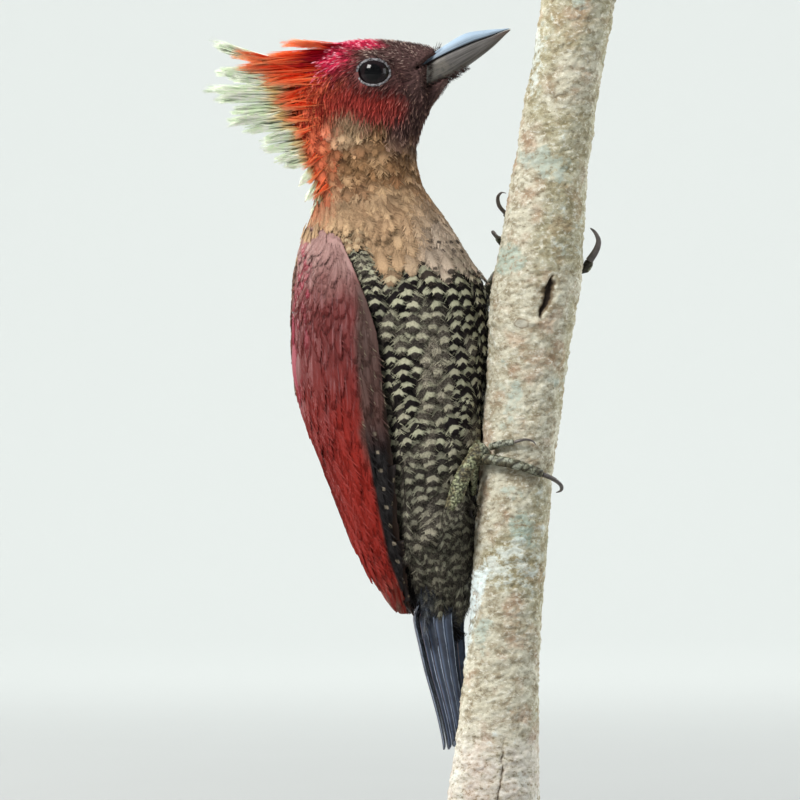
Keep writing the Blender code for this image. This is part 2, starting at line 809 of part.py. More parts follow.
def make_leg(foot, trunk, group, cutters):
    """A leg with its zygodactyl foot closed on the stem."""
    feathers = material(f"thigh_feathers_{foot.label}", (0.20, 0.16, 0.10), 0.85)
    scales = material(f"leg_scales_{foot.label}", (0.26, 0.26, 0.14), 0.6)
    horn = material(f"claw_horn_{foot.label}", (0.12, 0.09, 0.07), 0.4)
    name = f"thigh_{foot.label}"
    last = len(foot.thigh_radii) - 1
    points = smoothed(foot.thigh, 3)
    radii = [spline(foot.thigh_radii, last * step / (len(points) - 1)) for step in range(len(points))]
    radii[0] *= 0.6
    thigh = keep(tube(points, radii, name, 3), name, feathers, group)
    cut(trunk, cutter(thigh, cutters))
    name = f"shank_{foot.label}"
    last = len(foot.shank_radii) - 1
    points = smoothed(foot.shank, 3)
    radii = [spline(foot.shank_radii, last * step / (len(points) - 1)) for step in range(len(points))]
    shank = keep(tube(points, radii, name), name, scales, group)
    cut(thigh, cutter(shank, cutters))
    cut(trunk, bpy.data.objects[f"cut_{name}"])
    for toe in foot.toes:
        name = f"toe_{foot.label}_{toe.name}"
        made = keep(toe_mesh(toe.path, toe.radius, name), name, scales, group)
        cut(made, bpy.data.objects[f"cut_shank_{foot.label}"])
        name = f"claw_{foot.label}_{toe.name}"
        claw = keep(claw_mesh(toe.claw, toe.claw_radius, name), name, horn, group)
        if toe.in_feathers:
            cut(trunk, cutter(made, cutters, TOE_BED))
            cut(trunk, cutter(claw, cutters, TOE_BED))


def make_perch(group):
    """The cut length of stem, with low lumps under its bark."""
    bark = material("bark", (0.45, 0.37, 0.27), 0.9)
    rings = []
    for row in range(PERCH_RINGS):
        height = blend(PERCH_BOTTOM, PERCH_TOP, row / (PERCH_RINGS - 1))
        ring = []
        for side in range(PERCH_SIDES):
            angle = math.tau * side / PERCH_SIDES
            lump = math.sin(3.0 * angle + 0.09 * height) + math.sin(0.21 * height - 2.0 * angle) - 2.0
            way = Vector((math.cos(angle), math.sin(angle), 0.0))
            ring.append(perch_axis(height) + way * (perch_radius(height) + PERCH_LUMP * lump))
        rings.append(ring)
    return keep(loft(rings, "perch"), "perch", bark, group)


def make_stand(group):
    """The round base and the one short rod that carries the perch."""
    wood = material("stand_wood", (0.10, 0.06, 0.04), 0.45)
    steel = material("stand_steel", (0.35, 0.35, 0.36), 0.35, 1.0)
    bpy.ops.mesh.primitive_cylinder_add(
        vertices=BASE_SIDES,
        radius=BASE_RADIUS * MM,
        depth=BASE_THICKNESS * MM,
        location=(0.0, 0.0, 0.5 * BASE_THICKNESS * MM),
    )
    base = bpy.context.object
    base.name = "stand_base"
    base.data.materials.append(wood)
    edge = base.modifiers.new("edge", "BEVEL")
    edge.width = BASE_EDGE * MM
    edge.segments = 1
    edge.limit_method = "ANGLE"
    bottom = BASE_THICKNESS + GAP
    top = PERCH_BOTTOM - GAP
    foot = perch_axis(PERCH_BOTTOM)
    bpy.ops.mesh.primitive_cylinder_add(
        vertices=ROD_SIDES,
        radius=ROD_RADIUS * MM,
        depth=(top - bottom) * MM,
        location=(foot.x * MM, 0.0, 0.5 * (top + bottom) * MM),
    )
    rod = bpy.context.object
    rod.name = "stand_rod"
    rod.data.materials.append(steel)
    for part in (base, rod):
        for holder in part.users_collection:
            holder.objects.unlink(part)
        group.objects.link(part)
        part.data.shade_smooth()


def main():
    """Build the woodpecker, its stem and its stand."""
    for old in list(bpy.data.objects):
        bpy.data.objects.remove(old)
    group = collection(OBJECT_NAME)
    cutters = collection("cutters")
    make_stand(group)
    perch = make_perch(group)
    body = make_body(group)
    trunk = body["trunk"]
    head = body["head"]
    for side, label in ((1, "right"), (-1, "left")):
        for tool in make_wing(side, label, group, cutters):
            cut(trunk, tool)
        eye = make_eye(side, label, group)
        cut(head, cutter(eye, cutters))
    perch_tool = cutter(perch, cutters, PERCH_BED)
    cut(trunk, perch_tool)
    for mandible in make_bill(group):
        cut(head, cutter(mandible, cutters))
    make_crest(head, body["neck"], group, cutters)
    make_tail(group)
    for foot in (RIGHT_FOOT, LEFT_FOOT):
        make_leg(foot, trunk, group, cutters)


main()
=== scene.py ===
"""The looks of a still, life-size banded woodpecker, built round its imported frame.

One skin stands for the flesh of the frame. Feathers, scales and bark are meshes laid
over it. Lengths in the tables are millimetres, which MM turns into metres.
"""

import json
import logging
import random
from collections.abc import Callable, Iterable, Sequence
from dataclasses import dataclass, field
from enum import Enum
from math import copysign, cos, exp, floor, hypot, pi, radians, sin, sqrt, tan, tau
from typing import Any, NamedTuple

import bmesh
import bpy
import numpy as np
from bpy.types import Material, Mesh, Node, NodeSocket, NodeTree, Object
from mathutils import Matrix, Vector, noise
from mathutils.bvhtree import BVHTree
from mathutils.kdtree import KDTree

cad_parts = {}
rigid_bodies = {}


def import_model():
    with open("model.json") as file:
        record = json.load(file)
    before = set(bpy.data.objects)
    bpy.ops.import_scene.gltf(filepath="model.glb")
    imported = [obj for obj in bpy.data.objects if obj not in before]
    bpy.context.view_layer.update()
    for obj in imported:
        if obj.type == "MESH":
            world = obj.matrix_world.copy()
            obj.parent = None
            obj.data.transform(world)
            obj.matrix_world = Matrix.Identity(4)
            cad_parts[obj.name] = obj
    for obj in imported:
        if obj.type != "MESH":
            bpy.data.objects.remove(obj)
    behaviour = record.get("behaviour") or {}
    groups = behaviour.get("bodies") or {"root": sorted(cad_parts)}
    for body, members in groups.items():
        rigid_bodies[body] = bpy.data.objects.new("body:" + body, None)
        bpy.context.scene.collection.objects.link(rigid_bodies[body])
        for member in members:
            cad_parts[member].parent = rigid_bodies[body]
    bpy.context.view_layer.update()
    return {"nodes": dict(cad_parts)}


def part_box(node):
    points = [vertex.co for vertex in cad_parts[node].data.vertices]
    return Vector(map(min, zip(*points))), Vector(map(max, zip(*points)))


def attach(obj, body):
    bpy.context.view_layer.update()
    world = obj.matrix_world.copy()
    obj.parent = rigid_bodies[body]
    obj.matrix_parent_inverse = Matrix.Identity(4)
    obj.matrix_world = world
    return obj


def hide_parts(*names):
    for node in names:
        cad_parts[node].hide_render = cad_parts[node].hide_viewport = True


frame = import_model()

MM = 0.001
PER_METRE = 1000.0
PATCH = 0.003
BODY = "root"
SIDES = (("right", 1.0), ("left", -1.0))
LID_LONG, LID_TALL = 4.8, 3.8
LOG = logging.getLogger("woodpecker")

Number = "Value | float"


def blend(low: float, high: float, share: float) -> float:
    """A value between two others."""
    return low + (high - low) * share


def smooth_step(low: float, high: float, value: float) -> float:
    """0 at low, 1 at high and a smooth change between them."""
    share = min(max((value - low) / (high - low), 0.0), 1.0)
    return share * share * (3.0 - 2.0 * share)


def spline(values: Sequence[float], place: float) -> float:
    """Catmull-Rom value at a fractional place along a list of numbers.

    Args:
        values: The numbers that the curve passes through.
        place: Where to read it, in steps from the first number.

    Returns:
        The value there. Past the ends it runs on in a straight line.
    """
    last = len(values) - 1
    index = min(max(int(floor(place)), 0), last - 1)
    share = place - index
    start, end = values[index], values[index + 1]
    if share < 0.0 or share > 1.0:
        return blend(start, end, share)
    rise = 0.5 * (end - values[max(index - 1, 0)])
    fall = 0.5 * (values[min(index + 2, last)] - start)
    square = share * share
    cube = square * share
    return (
        start * (2.0 * cube - 3.0 * square + 1.0)
        + rise * (cube - 2.0 * square + share)
        + end * (3.0 * square - 2.0 * cube)
        + fall * (cube - square)
    )


def spline_point(points: Sequence[Sequence[float]], share: float) -> Vector:
    """The point at a share of a smooth curve through points."""
    place = share * (len(points) - 1)
    return Vector([spline(column, place) for column in zip(*points)])


def tone(red: int, green: int, blue: int) -> tuple[float, float, float, float]:
    """A linear colour from the usual 0 to 255 display values."""
    shares = (channel / 255.0 for channel in (red, green, blue))
    linear = [s / 12.92 if s <= 0.04045 else ((s + 0.055) / 1.055) ** 2.4 for s in shares]
    return (*linear, 1.0)


def node_math(operation: str, swapped: bool = False) -> Callable[..., "Value"]:
    """A method of Value that makes one Math node.

    Args:
        operation: The node's operation.
        swapped: Whether the other number comes first.

    Returns:
        The method, which takes the other number where the operation needs one.
    """

    def method(value: "Value", *other: Number) -> "Value":
        """The operation on this value."""
        return value.tree.math(operation, *((*other, value) if swapped else (value, *other)))

    return method


class Value:
    """A node's number output that can be used in arithmetic."""

    __add__ = __radd__ = node_math("ADD")
    __sub__ = node_math("SUBTRACT")
    __rsub__ = node_math("SUBTRACT", swapped=True)
    __mul__ = __rmul__ = node_math("MULTIPLY")
    __truediv__ = node_math("DIVIDE")
    __rtruediv__ = node_math("DIVIDE", swapped=True)
    __pow__ = node_math("POWER")
    sine = node_math("SINE")
    size = node_math("ABSOLUTE")
    least = node_math("MINIMUM")
    most = node_math("MAXIMUM")

    def __init__(self, tree: "Tree", socket: NodeSocket) -> None:
        """Keep the socket and the tree that it is in."""
        self.tree = tree
        self.socket = socket

    def step(self, low: float, high: float) -> "Value":
        """A smooth change from 0 at low to 1 at high, which may be the lower one."""
        settings = {"interpolation_type": "SMOOTHSTEP"}
        start, end = (low, high) if low < high else (high, low)
        inputs = {"Value": self, "From Min": start, "From Max": end}
        made = self.tree.out(self.tree.node("ShaderNodeMapRange", settings, inputs), "Result")
        return made if low < high else 1.0 - made


class Tree:
    """A node tree that is built by calls and expressions."""

    def __init__(self, nodes: NodeTree) -> None:
        """Keep the tree."""
        self.nodes = nodes

    def node(
        self, kind: str, settings: dict[str, Any] | None = None, inputs: dict[str | int, Any] | None = None
    ) -> Node:
        """Add a node.

        Args:
            kind: The node's type.
            settings: Its own settings, which are set first.
            inputs: Values or links for its sockets, by name or number.

        Returns:
            The node.
        """
        made = self.nodes.nodes.new(kind)
        for name, setting in (settings or {}).items():
            setattr(made, name, setting)
        for key, given in (inputs or {}).items():
            self.give(made.inputs[key] if isinstance(key, int) else self._open(made.inputs, key), given)
        return made

    def give(self, socket: NodeSocket, given: Any) -> None:
        """Link a value to a socket, or set the socket to a plain one."""
        if isinstance(given, Value):
            self.nodes.links.new(given.socket, socket)
        else:
            socket.default_value = given

    @staticmethod
    def _open(sockets: Iterable[NodeSocket], name: str) -> NodeSocket:
        """The socket of that name that is in use."""
        return next(socket for socket in sockets if socket.name == name and socket.enabled)

    def out(self, node: Node, name: str) -> Value:
        """A node's output of that name."""
        return Value(self, self._open(node.outputs, name))

    def math(self, operation: str, *numbers: Number) -> Value:
        """A Math node on one or two numbers."""
        made = self.node("ShaderNodeMath", {"operation": operation}, dict(enumerate(numbers)))
        return self.out(made, "Value")

    def vector(self, operation: str, first: Value, second: Any) -> Value:
        """A Vector Math node."""
        key = "Scale" if operation == "SCALE" else 1
        made = self.node("ShaderNodeVectorMath", {"operation": operation}, {0: first, key: second})
        return self.out(made, "Vector")

    def join(self, x: Number, y: Number, z: Number = 0.0) -> Value:
        """A vector from three numbers."""
        return self.out(self.node("ShaderNodeCombineXYZ", None, {0: x, 1: y, 2: z}), "Vector")

    def split(self, vector: Value) -> tuple[Value, Value, Value]:
        """The three numbers of a vector."""
        made = self.node("ShaderNodeSeparateXYZ", None, {0: vector})
        return tuple(self.out(made, name) for name in "XYZ")

    def mix(self, share: Number, first: Any, second: Any, blend_type: str = "MIX") -> Value:
        """A mix of two colours, each a value or display numbers from 0 to 255."""
        first, second = (given if isinstance(given, Value) else tone(*given) for given in (first, second))
        settings = {"data_type": "RGBA", "blend_type": blend_type}
        inputs = {"Factor": share, "A": first, "B": second}
        return self.out(self.node("ShaderNodeMix", settings, inputs), "Result")

    def noise(self, vector: Value, scale: float, detail: float = 3.0, rough: float = 0.55) -> Value:
        """Noise between 0 and 1 whose size is 1 / scale."""
        inputs = {"Vector": vector, "Scale": scale, "Detail": detail, "Roughness": rough}
        return self.out(self.node("ShaderNodeTexNoise", None, inputs), "Fac")


class Paint(Tree):
    """A material that is built by expressions, with the colour that is laid on so far."""

    colour: Value

    def __init__(self, name: str) -> None:
        """Make the material with its shader."""
        self.material = bpy.data.materials.new(name)
        self.material.use_nodes = True
        super().__init__(self.material.node_tree)
        self.shader = self.nodes.nodes["Principled BSDF"]

    def place(self) -> Value:
        """The point on the object, in metres."""
        return self.out(self.node("ShaderNodeTexCoord"), "Object")

    def grain(self, scale: float, detail: float = 3.0, rough: float = 0.55) -> Value:
        """Noise at the point on the object."""
        return self.noise(self.place(), scale, detail, rough)

    def attribute(self, name: str) -> Value:
        """A named vector of the mesh."""
        return self.out(self.node("ShaderNodeAttribute", {"attribute_name": name}), "Vector")

    def parts(self, name: str) -> tuple[Value, Value, Value]:
        """The three numbers of a named vector of the mesh."""
        return self.split(self.attribute(name))

    def over(self, share: Number, colour: Any, blend_type: str = "MIX") -> None:
        """Lay a colour over what is there, by a share."""
        self.colour = self.mix(share, self.colour, colour, blend_type)

    def shade(self, light: Value) -> None:
        """Lighten or darken the colour."""
        self.over(1.0, self.join(light, light, light), "MULTIPLY")

    def bump(self, height: Value, strength: float, distance: float) -> Value:
        """A normal bent by a height."""
        inputs = {"Height": height, "Strength": strength, "Distance": distance}
        return self.out(self.node("ShaderNodeBump", None, inputs), "Normal")

    def finish(
        self, rough: Number, specular: float = 0.5, normal: Value | None = None, coat: float = 0.0,
        metal: float = 0.0,
    ) -> Material:
        """Link the colour and say how the surface shines.

        Args:
            rough: The roughness.
            specular: How strongly it mirrors.
            normal: Its bent normal, if it has one.
            coat: The share of varnish over it.
            metal: 1 for metal.

        Returns:
            The material.
        """
        given = {
            "Base Color": self.colour, "Roughness": rough, "Specular IOR Level": specular,
            "Coat Weight": coat, "Metallic": metal,
        }
        if normal:
            given["Normal"] = normal
        for name, value in given.items():
            self.give(self.shader.inputs[name], value)
        return self.material


class Station(NamedTuple):
    """One cross-section of the body: its belly point, back point and half width."""

    belly_x: float
    belly_z: float
    back_x: float
    back_z: float
    half_width: float


STATIONS = tuple(Station(*row) for row in (
    (9.0, 110.4, -4.0, 109.4, 7.4),      # end of the undertail coverts
    (13.4, 121.0, -11.0, 117.4, 12.6),   # vent
    (16.4, 136.0, -20.2, 132.0, 19.0),   # rump
    (18.2, 154.0, -28.4, 151.6, 23.5),   # lower belly
    (19.2, 175.0, -37.6, 173.5, 26.0),   # belly
    (18.6, 194.5, -40.2, 193.6, 27.0),   # breast
    (16.4, 210.0, -39.6, 211.0, 26.0),   # upper breast
    (10.6, 222.0, -37.4, 223.6, 23.0),   # shoulders
    (3.0, 233.5, -35.0, 232.6, 18.5),    # root of the neck
    (-1.6, 240.4, -35.0, 239.6, 16.5),   # lower neck
    (-3.2, 247.6, -37.8, 247.0, 15.5),   # neck
    (-3.0, 253.0, -40.0, 254.0, 15.0),   # throat
    (-1.5, 257.8, -42.0, 262.0, 14.8),   # jaw
    (0.3, 261.7, -42.4, 270.0, 14.5),    # nape
    (1.8, 264.4, -38.5, 277.8, 14.0),    # hind crown
    (3.0, 265.9, -30.0, 282.2, 13.2),    # ear
    (3.9, 267.0, -18.6, 283.8, 12.0),    # crown
    (4.5, 268.0, -7.8, 283.2, 10.2),     # forehead
    (5.2, 269.4, -0.8, 281.9, 8.2),      # lores
    (6.2, 271.4, 4.0, 280.2, 5.6),       # bristles round the bill
))
LAST_STATION = len(STATIONS) - 1.0


@dataclass(frozen=True)
class Stance:
    """How the body's sections stand: turned towards -Y, and where the spine lies in Y."""

    trunk_turn: float = radians(15.0)
    head_turn: float = radians(3.0)
    trunk_y: float = 11.5
    head_y: float = 8.5

    def section(self, place: float) -> tuple[Vector, Vector, Vector]:
        """The centre of a section, and its half lengths to the belly and to the right."""
        station = Station(*(spline(column, place) for column in zip(*STATIONS)))
        turn = blend(self.trunk_turn, self.head_turn, smooth_step(6.5, 13.0, place))
        depth = blend(self.trunk_y, self.head_y, smooth_step(6.0, 13.0, place))
        half_x = 0.5 * (station.belly_x - station.back_x)
        half_z = 0.5 * (station.belly_z - station.back_z)
        ahead = Vector((half_x, -half_x * tan(turn), half_z))
        right = Vector((-sin(turn), -cos(turn), 0.0)) * station.half_width
        centre = Vector((station.belly_x - half_x, depth, station.belly_z - half_z))
        return centre * MM, ahead * MM, right * MM

    def head_axes(self) -> tuple[Vector, Vector]:
        """The head's directions ahead and to its right, both level."""
        cosine, sine = cos(self.head_turn), sin(self.head_turn)
        return Vector((cosine, -sine, 0.0)), Vector((-sine, -cosine, 0.0))

    def point(self, place: float, angle: float) -> Vector:
        """The point of the plain body: angle 0 is the belly, a quarter turn its right."""
        centre, ahead, right = self.section(place)
        return centre + ahead * cos(angle) + right * sin(angle)


@dataclass(frozen=True)
class BillFrame:
    """The bill's own directions, and the line where the face's feathers end on it."""

    pitch: float = radians(28.2)
    turn: float = radians(3.0)
    origin: tuple[float, float, float] = (3.0, 8.5, 274.9)
    gape_up: float = 2.6
    depth: float = 6.4

    def axes(self) -> tuple[Vector, Vector, Vector]:
        """The directions ahead, up and to the right."""
        turned = Matrix.Rotation(-self.turn, 3, "Z")
        ahead = turned @ Vector((cos(self.pitch), 0.0, sin(self.pitch)))
        upward = turned @ Vector((-sin(self.pitch), 0.0, cos(self.pitch)))
        return ahead, upward, turned @ Vector((0.0, -1.0, 0.0))

    def point(self, along: float, up: float, aside: float) -> Vector:
        """The point at a place in the bill's frame, which is in millimetres."""
        ahead, upward, right = self.axes()
        return (Vector(self.origin) + ahead * along + upward * up + right * aside) * MM

    def read(self, point: Vector) -> tuple[float, float, float]:
        """A point's place along, up and to the right of the bill."""
        gap = point / MM - Vector(self.origin)
        return tuple(gap.dot(axis) for axis in self.axes())

    def fullness(self, up: float) -> float:
        """How wide the bill's root is at a height, as a share. It rounds off below the gape."""
        deep = min(max((self.gape_up - up) / self.depth, 0.0), 1.0)
        return (1.0 - deep**2.35) ** 0.31

    def past_feathers(self, along: float, up: float) -> float:
        """How far a place lies ahead of the line where the feathers end."""
        if up > self.gape_up:
            return along + 6.2 - 3.3 * (up - self.gape_up)
        return along + 2.5 + 0.62 * (self.gape_up - up)


class Spot(NamedTuple):
    """A place on a surface, the way out of it and the way that feathers lie on it."""

    point: Vector
    outward: Vector
    flow: Vector
    place: float
    angle: float


class Surface:
    """A shape that is read by rays from outside towards the body's middle."""

    START = 8.0 * MM

    def __init__(self, meshes: Iterable[Mesh], stance: Stance) -> None:
        """Take the meshes' faces into one search tree."""
        points: list[Vector] = []
        faces: list[tuple[int, ...]] = []
        for mesh in meshes:
            first = len(points)
            points += [vertex.co.copy() for vertex in mesh.vertices]
            faces += [tuple(first + index for index in face.vertices) for face in mesh.polygons]
        self.tree = BVHTree.FromPolygons(points, faces)
        self.stance = stance

    def hit(self, place: float, angle: float) -> tuple[Vector, Vector] | None:
        """Where the surface lies at a station and an angle, and its normal."""
        centre, _, _ = self.stance.section(place)
        nominal = self.stance.point(place, angle)
        outward = (nominal - centre).normalized()
        found = None
        for far in (self.START, 2.0 * self.START):
            point, normal, _, _ = self.tree.ray_cast(nominal + outward * far, -outward)
            if point is not None and normal.dot(outward) > 0.0:
                return point, normal
            found = found or (point and (point, -normal))
        return found

    def spot(self, place: float, angle: float, step: float = 0.06) -> Spot | None:
        """The surface there, with smooth directions read from its surroundings."""
        here = self.hit(place, angle)
        near = [
            self.hit(place - step, angle), self.hit(place + step, angle),
            self.hit(place, angle - step), self.hit(place, angle + step),
        ]
        if here is None or None in near:
            return None
        flow = (near[0][0] - near[1][0]).normalized()
        across = near[3][0] - near[2][0]
        outward = across.cross(flow).normalized()
        if outward.dot(here[1]) < 0.0:
            outward = -outward
        return Spot(here[0], outward, flow, place, angle)

    def any_spot(self, place: float, angle: float) -> Spot | None:
        """The surface there, with smooth directions where its surroundings give them."""
        return self.spot(place, angle) or self.draped(place, angle)

    def draped(self, place: float, angle: float) -> Spot | None:
        """The surface there, with the plain body's own directions."""
        here = self.hit(place, angle)
        if here is None:
            return None
        centre, _, _ = self.stance.section(place)
        flow = (self.stance.point(place - 0.1, angle) - self.stance.point(place + 0.1, angle)).normalized()
        outward = self.stance.point(place, angle) - centre
        outward = (outward - flow * outward.dot(flow)).normalized()
        return Spot(here[0], outward, flow, place, angle)


class Charts:
    """Finds the station and angle of any point near the body."""

    ROWS, COLUMNS = 260, 96

    def __init__(self, surface: Surface) -> None:
        """Read a fine grid of the surface."""
        body = surface.stance.point
        self.spots: list[Spot] = []
        for row in range(self.ROWS):
            place = LAST_STATION * row / (self.ROWS - 1)
            for column in range(self.COLUMNS):
                angle = pi * (2.0 * column / self.COLUMNS - 1.0)
                found = surface.hit(place, angle)
                if found:
                    ahead = body(place - 0.05, angle) - body(place + 0.05, angle)
                    self.spots.append(Spot(*found, ahead.normalized(), place, angle))
        self.tree = KDTree(len(self.spots))
        for index, spot in enumerate(self.spots):
            self.tree.insert(spot.point, index)
        self.tree.balance()

    def near(self, point: Vector) -> Spot:
        """The spot of the grid that is nearest to a point."""
        return self.spots[self.tree.find(point)[1]]


def mesh_of(shape: bmesh.types.BMesh, name: str) -> Mesh:
    """A new mesh from a working shape, which is freed."""
    mesh = bpy.data.meshes.new(name)
    shape.to_mesh(mesh)
    shape.free()
    return mesh


def solid_copy(nodes: Sequence[str], name: str) -> Mesh:
    """One mesh that joins copies of CAD nodes, with their doubles merged."""
    shape = bmesh.new()
    for node in nodes:
        shape.from_mesh(frame["nodes"][node].data)
    bmesh.ops.remove_doubles(shape, verts=shape.verts, dist=0.01 * MM)
    mesh = mesh_of(shape, name)
    mesh.materials.clear()
    return mesh


def evaluated(holder: Object, name: str) -> Mesh:
    """The plain mesh that an object's modifiers make. The object is removed."""
    bpy.context.view_layer.update()
    depsgraph = bpy.context.evaluated_depsgraph_get()
    mesh = bpy.data.meshes.new_from_object(holder.evaluated_get(depsgraph), depsgraph=depsgraph)
    mesh.name = name
    bpy.data.objects.remove(holder)
    return mesh


def holder_of(mesh: Mesh, name: str) -> Object:
    """A working object for a mesh."""
    made = bpy.data.objects.new(name, mesh)
    bpy.context.scene.collection.objects.link(made)
    return made


def softened(nodes: Sequence[str], name: str, voxel: float, rounds: int) -> Mesh:
    """CAD nodes joined into one even mesh of a voxel's size, smoothed by rounds."""
    holder = holder_of(solid_copy(nodes, name), f"{name}_work")
    remesh = holder.modifiers.new("join", "REMESH")
    remesh.mode = "VOXEL"
    remesh.voxel_size = voxel
    holder.modifiers.new("soften", "SMOOTH").iterations = rounds
    return evaluated(holder, name)


def mark(mesh: Mesh, sites: Sequence[Sequence[float]], vane: tuple[float, float, float]) -> None:
    """Store what the plumage's finishes read: each vertex's place, its site and one place on a vane."""
    put_vectors(mesh, "root", [vertex.co[:] for vertex in mesh.vertices])
    put_vectors(mesh, "site", sites)
    put_vectors(mesh, "vane", [vane] * len(sites))


def piece(
    mesh: Mesh, name: str, finish: Material | None, replaced: Sequence[str] = ()
) -> Object:
    """Hand a finished mesh to the frame.

    Args:
        mesh: The mesh, in its place.
        name: The piece's name.
        finish: Its material, where the mesh has none yet.
        replaced: The CAD nodes that the piece stands for.

    Returns:
        The object.
    """
    mesh.name = name
    if finish:
        mesh.materials.clear()
        mesh.materials.append(finish)
    made = holder_of(mesh, name)
    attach(made, BODY)
    if replaced:
        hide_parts(*replaced)
    LOG.info("%s: %d faces", name, len(mesh.polygons))
    return made


def put_vectors(mesh: Mesh, name: str, values: Sequence[Sequence[float]]) -> None:
    """Store a vector for each vertex."""
    layer = mesh.attributes.new(name, "FLOAT_VECTOR", "POINT")
    layer.data.foreach_set("vector", np.array(values, np.float32).ravel())


def put_map(mesh: Mesh, place_of: Callable[[int], tuple[float, float]]) -> None:
    """Write the bake map from a place for each vertex."""
    layer = mesh.uv_layers.new(name="OFBake")
    spots = np.array([place_of(index) for index in range(len(mesh.vertices))], np.float32)
    corners = np.zeros(len(mesh.loops), np.int32)
    mesh.loops.foreach_get("vertex_index", corners)
    layer.data.foreach_set("uv", spots[corners].ravel())


@dataclass
class Skin:
    """The one skin under the coat, with its eye sockets."""

    stance: Stance
    beak: BillFrame = BillFrame()
    nodes: tuple[str, ...] = ("undertail", "trunk", "neck", "head", "thigh_left", "thigh_right")
    voxel: float = 0.8 * MM
    smoothing: int = 8
    socket_reach: float = 5.6 * MM
    depths: tuple[tuple[float, float], ...] = (
        (0.0, 1.2), (1.4, 1.6), (7.0, 1.7), (9.0, 1.3), (11.6, 1.0), (15.0, 0.8), (17.5, 0.55), (19.0, 0.2),
    )
    surface: Surface = field(init=False)
    charts: Charts = field(init=False)
    mesh: Mesh = field(init=False)

    def depth(self, place: float) -> float:
        """How far the skin lies under the tips of the coat at a station."""
        for (start, low), (end, high) in zip(self.depths, self.depths[1:]):
            if place <= end:
                return blend(low, high, max(place - start, 0.0) / (end - start)) * MM
        return self.depths[-1][1] * MM

    def build(self) -> None:
        """Join the nodes of flesh into one smooth skin."""
        mesh = softened((*self.nodes, "eye_left", "eye_right"), "skin", self.voxel, self.smoothing)
        outer = Charts(Surface([mesh], self.stance))
        normals = [vertex.normal.copy() for vertex in mesh.vertices]
        eyes = [(centre_of(f"eye_{label}"), side) for label, side in SIDES]
        for vertex, normal in zip(mesh.vertices, normals):
            vertex.co -= normal * self.depth(outer.near(vertex.co).place)
            for eye, side in eyes:
                vertex.co = self._round_eye(vertex.co, eye, side)
            vertex.co = self._narrowed(vertex.co)
        mesh.update()
        self.mesh = mesh
        self.surface = Surface([mesh], self.stance)
        self.charts = Charts(self.surface)

    def _round_eye(self, point: Vector, eye: Vector, side: float) -> Vector:
        """A point near an eye, moved under the lids' opening or on to the ball round it."""
        gap = point - eye
        ahead, right = self.stance.head_axes()
        aside = right * side
        out = gap.dot(aside)
        flat = (gap - aside * out).length
        if out < -2.0 * MM or flat > self.socket_reach:
            return point
        inside = hypot(gap.dot(ahead) / LID_LONG, gap.z / LID_TALL) < MM
        shell = sqrt(max((self.socket_reach - (0.32 if inside else 0.08) * MM) ** 2 - flat**2, 0.0))
        return point + aside * ((min if inside else max)(out, shell) - out)

    def _narrowed(self, point: Vector) -> Vector:
        """A point of the face, drawn in where the bill lies over it."""
        along, up, aside = self.beak.read(point)
        past = self.beak.past_feathers(along, up)
        full = self.beak.fullness(up)
        under = 0.9 * full if full > 0.0 else 1.0
        limit = blend(10.5, 4.7 * under, smooth_step(-2.4, 0.6, past))
        if along < -12.0 or abs(aside) < limit:
            return point
        return self.beak.point(along, up, copysign(limit, aside))

    def dress(self, finish: Material) -> None:
        """Mark the skin as the coat is marked and hand it over."""
        spots = [self.charts.near(vertex.co) for vertex in self.mesh.vertices]
        mark(self.mesh, [(spot.place, spot.angle, 0.5) for spot in spots], (0.0, 0.55, 0.5))
        put_map(self.mesh, lambda index: unwrap(spots[index].place, spots[index].angle))
        self.mesh.shade_smooth()
        piece(self.mesh, "skin", finish, self.nodes)


def unwrap(place: float, angle: float, start: float = 0.0, end: float = LAST_STATION) -> tuple[float, float]:
    """Where a spot lies on the map of a stretch of the body."""
    margin = 0.01
    across = (angle + pi) / tau
    along = (place - start) / (end - start)
    return blend(margin, 1.0 - margin, across), blend(margin, 1.0 - margin, along)


def centre_of(node: str) -> Vector:
    """The middle of a CAD node's box."""
    low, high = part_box(node)
    return 0.5 * (low + high)


def span(first: Value, second: Value) -> Value:
    """The distance that two parts at a right angle give."""
    return (first * first + second * second) ** 0.5


def outwards(mesh: Mesh) -> None:
    """Turn the faces of closed shapes outwards."""
    shape = bmesh.new()
    shape.from_mesh(mesh)
    bmesh.ops.recalc_face_normals(shape, faces=shape.faces)
    shape.to_mesh(mesh)
    shape.free()


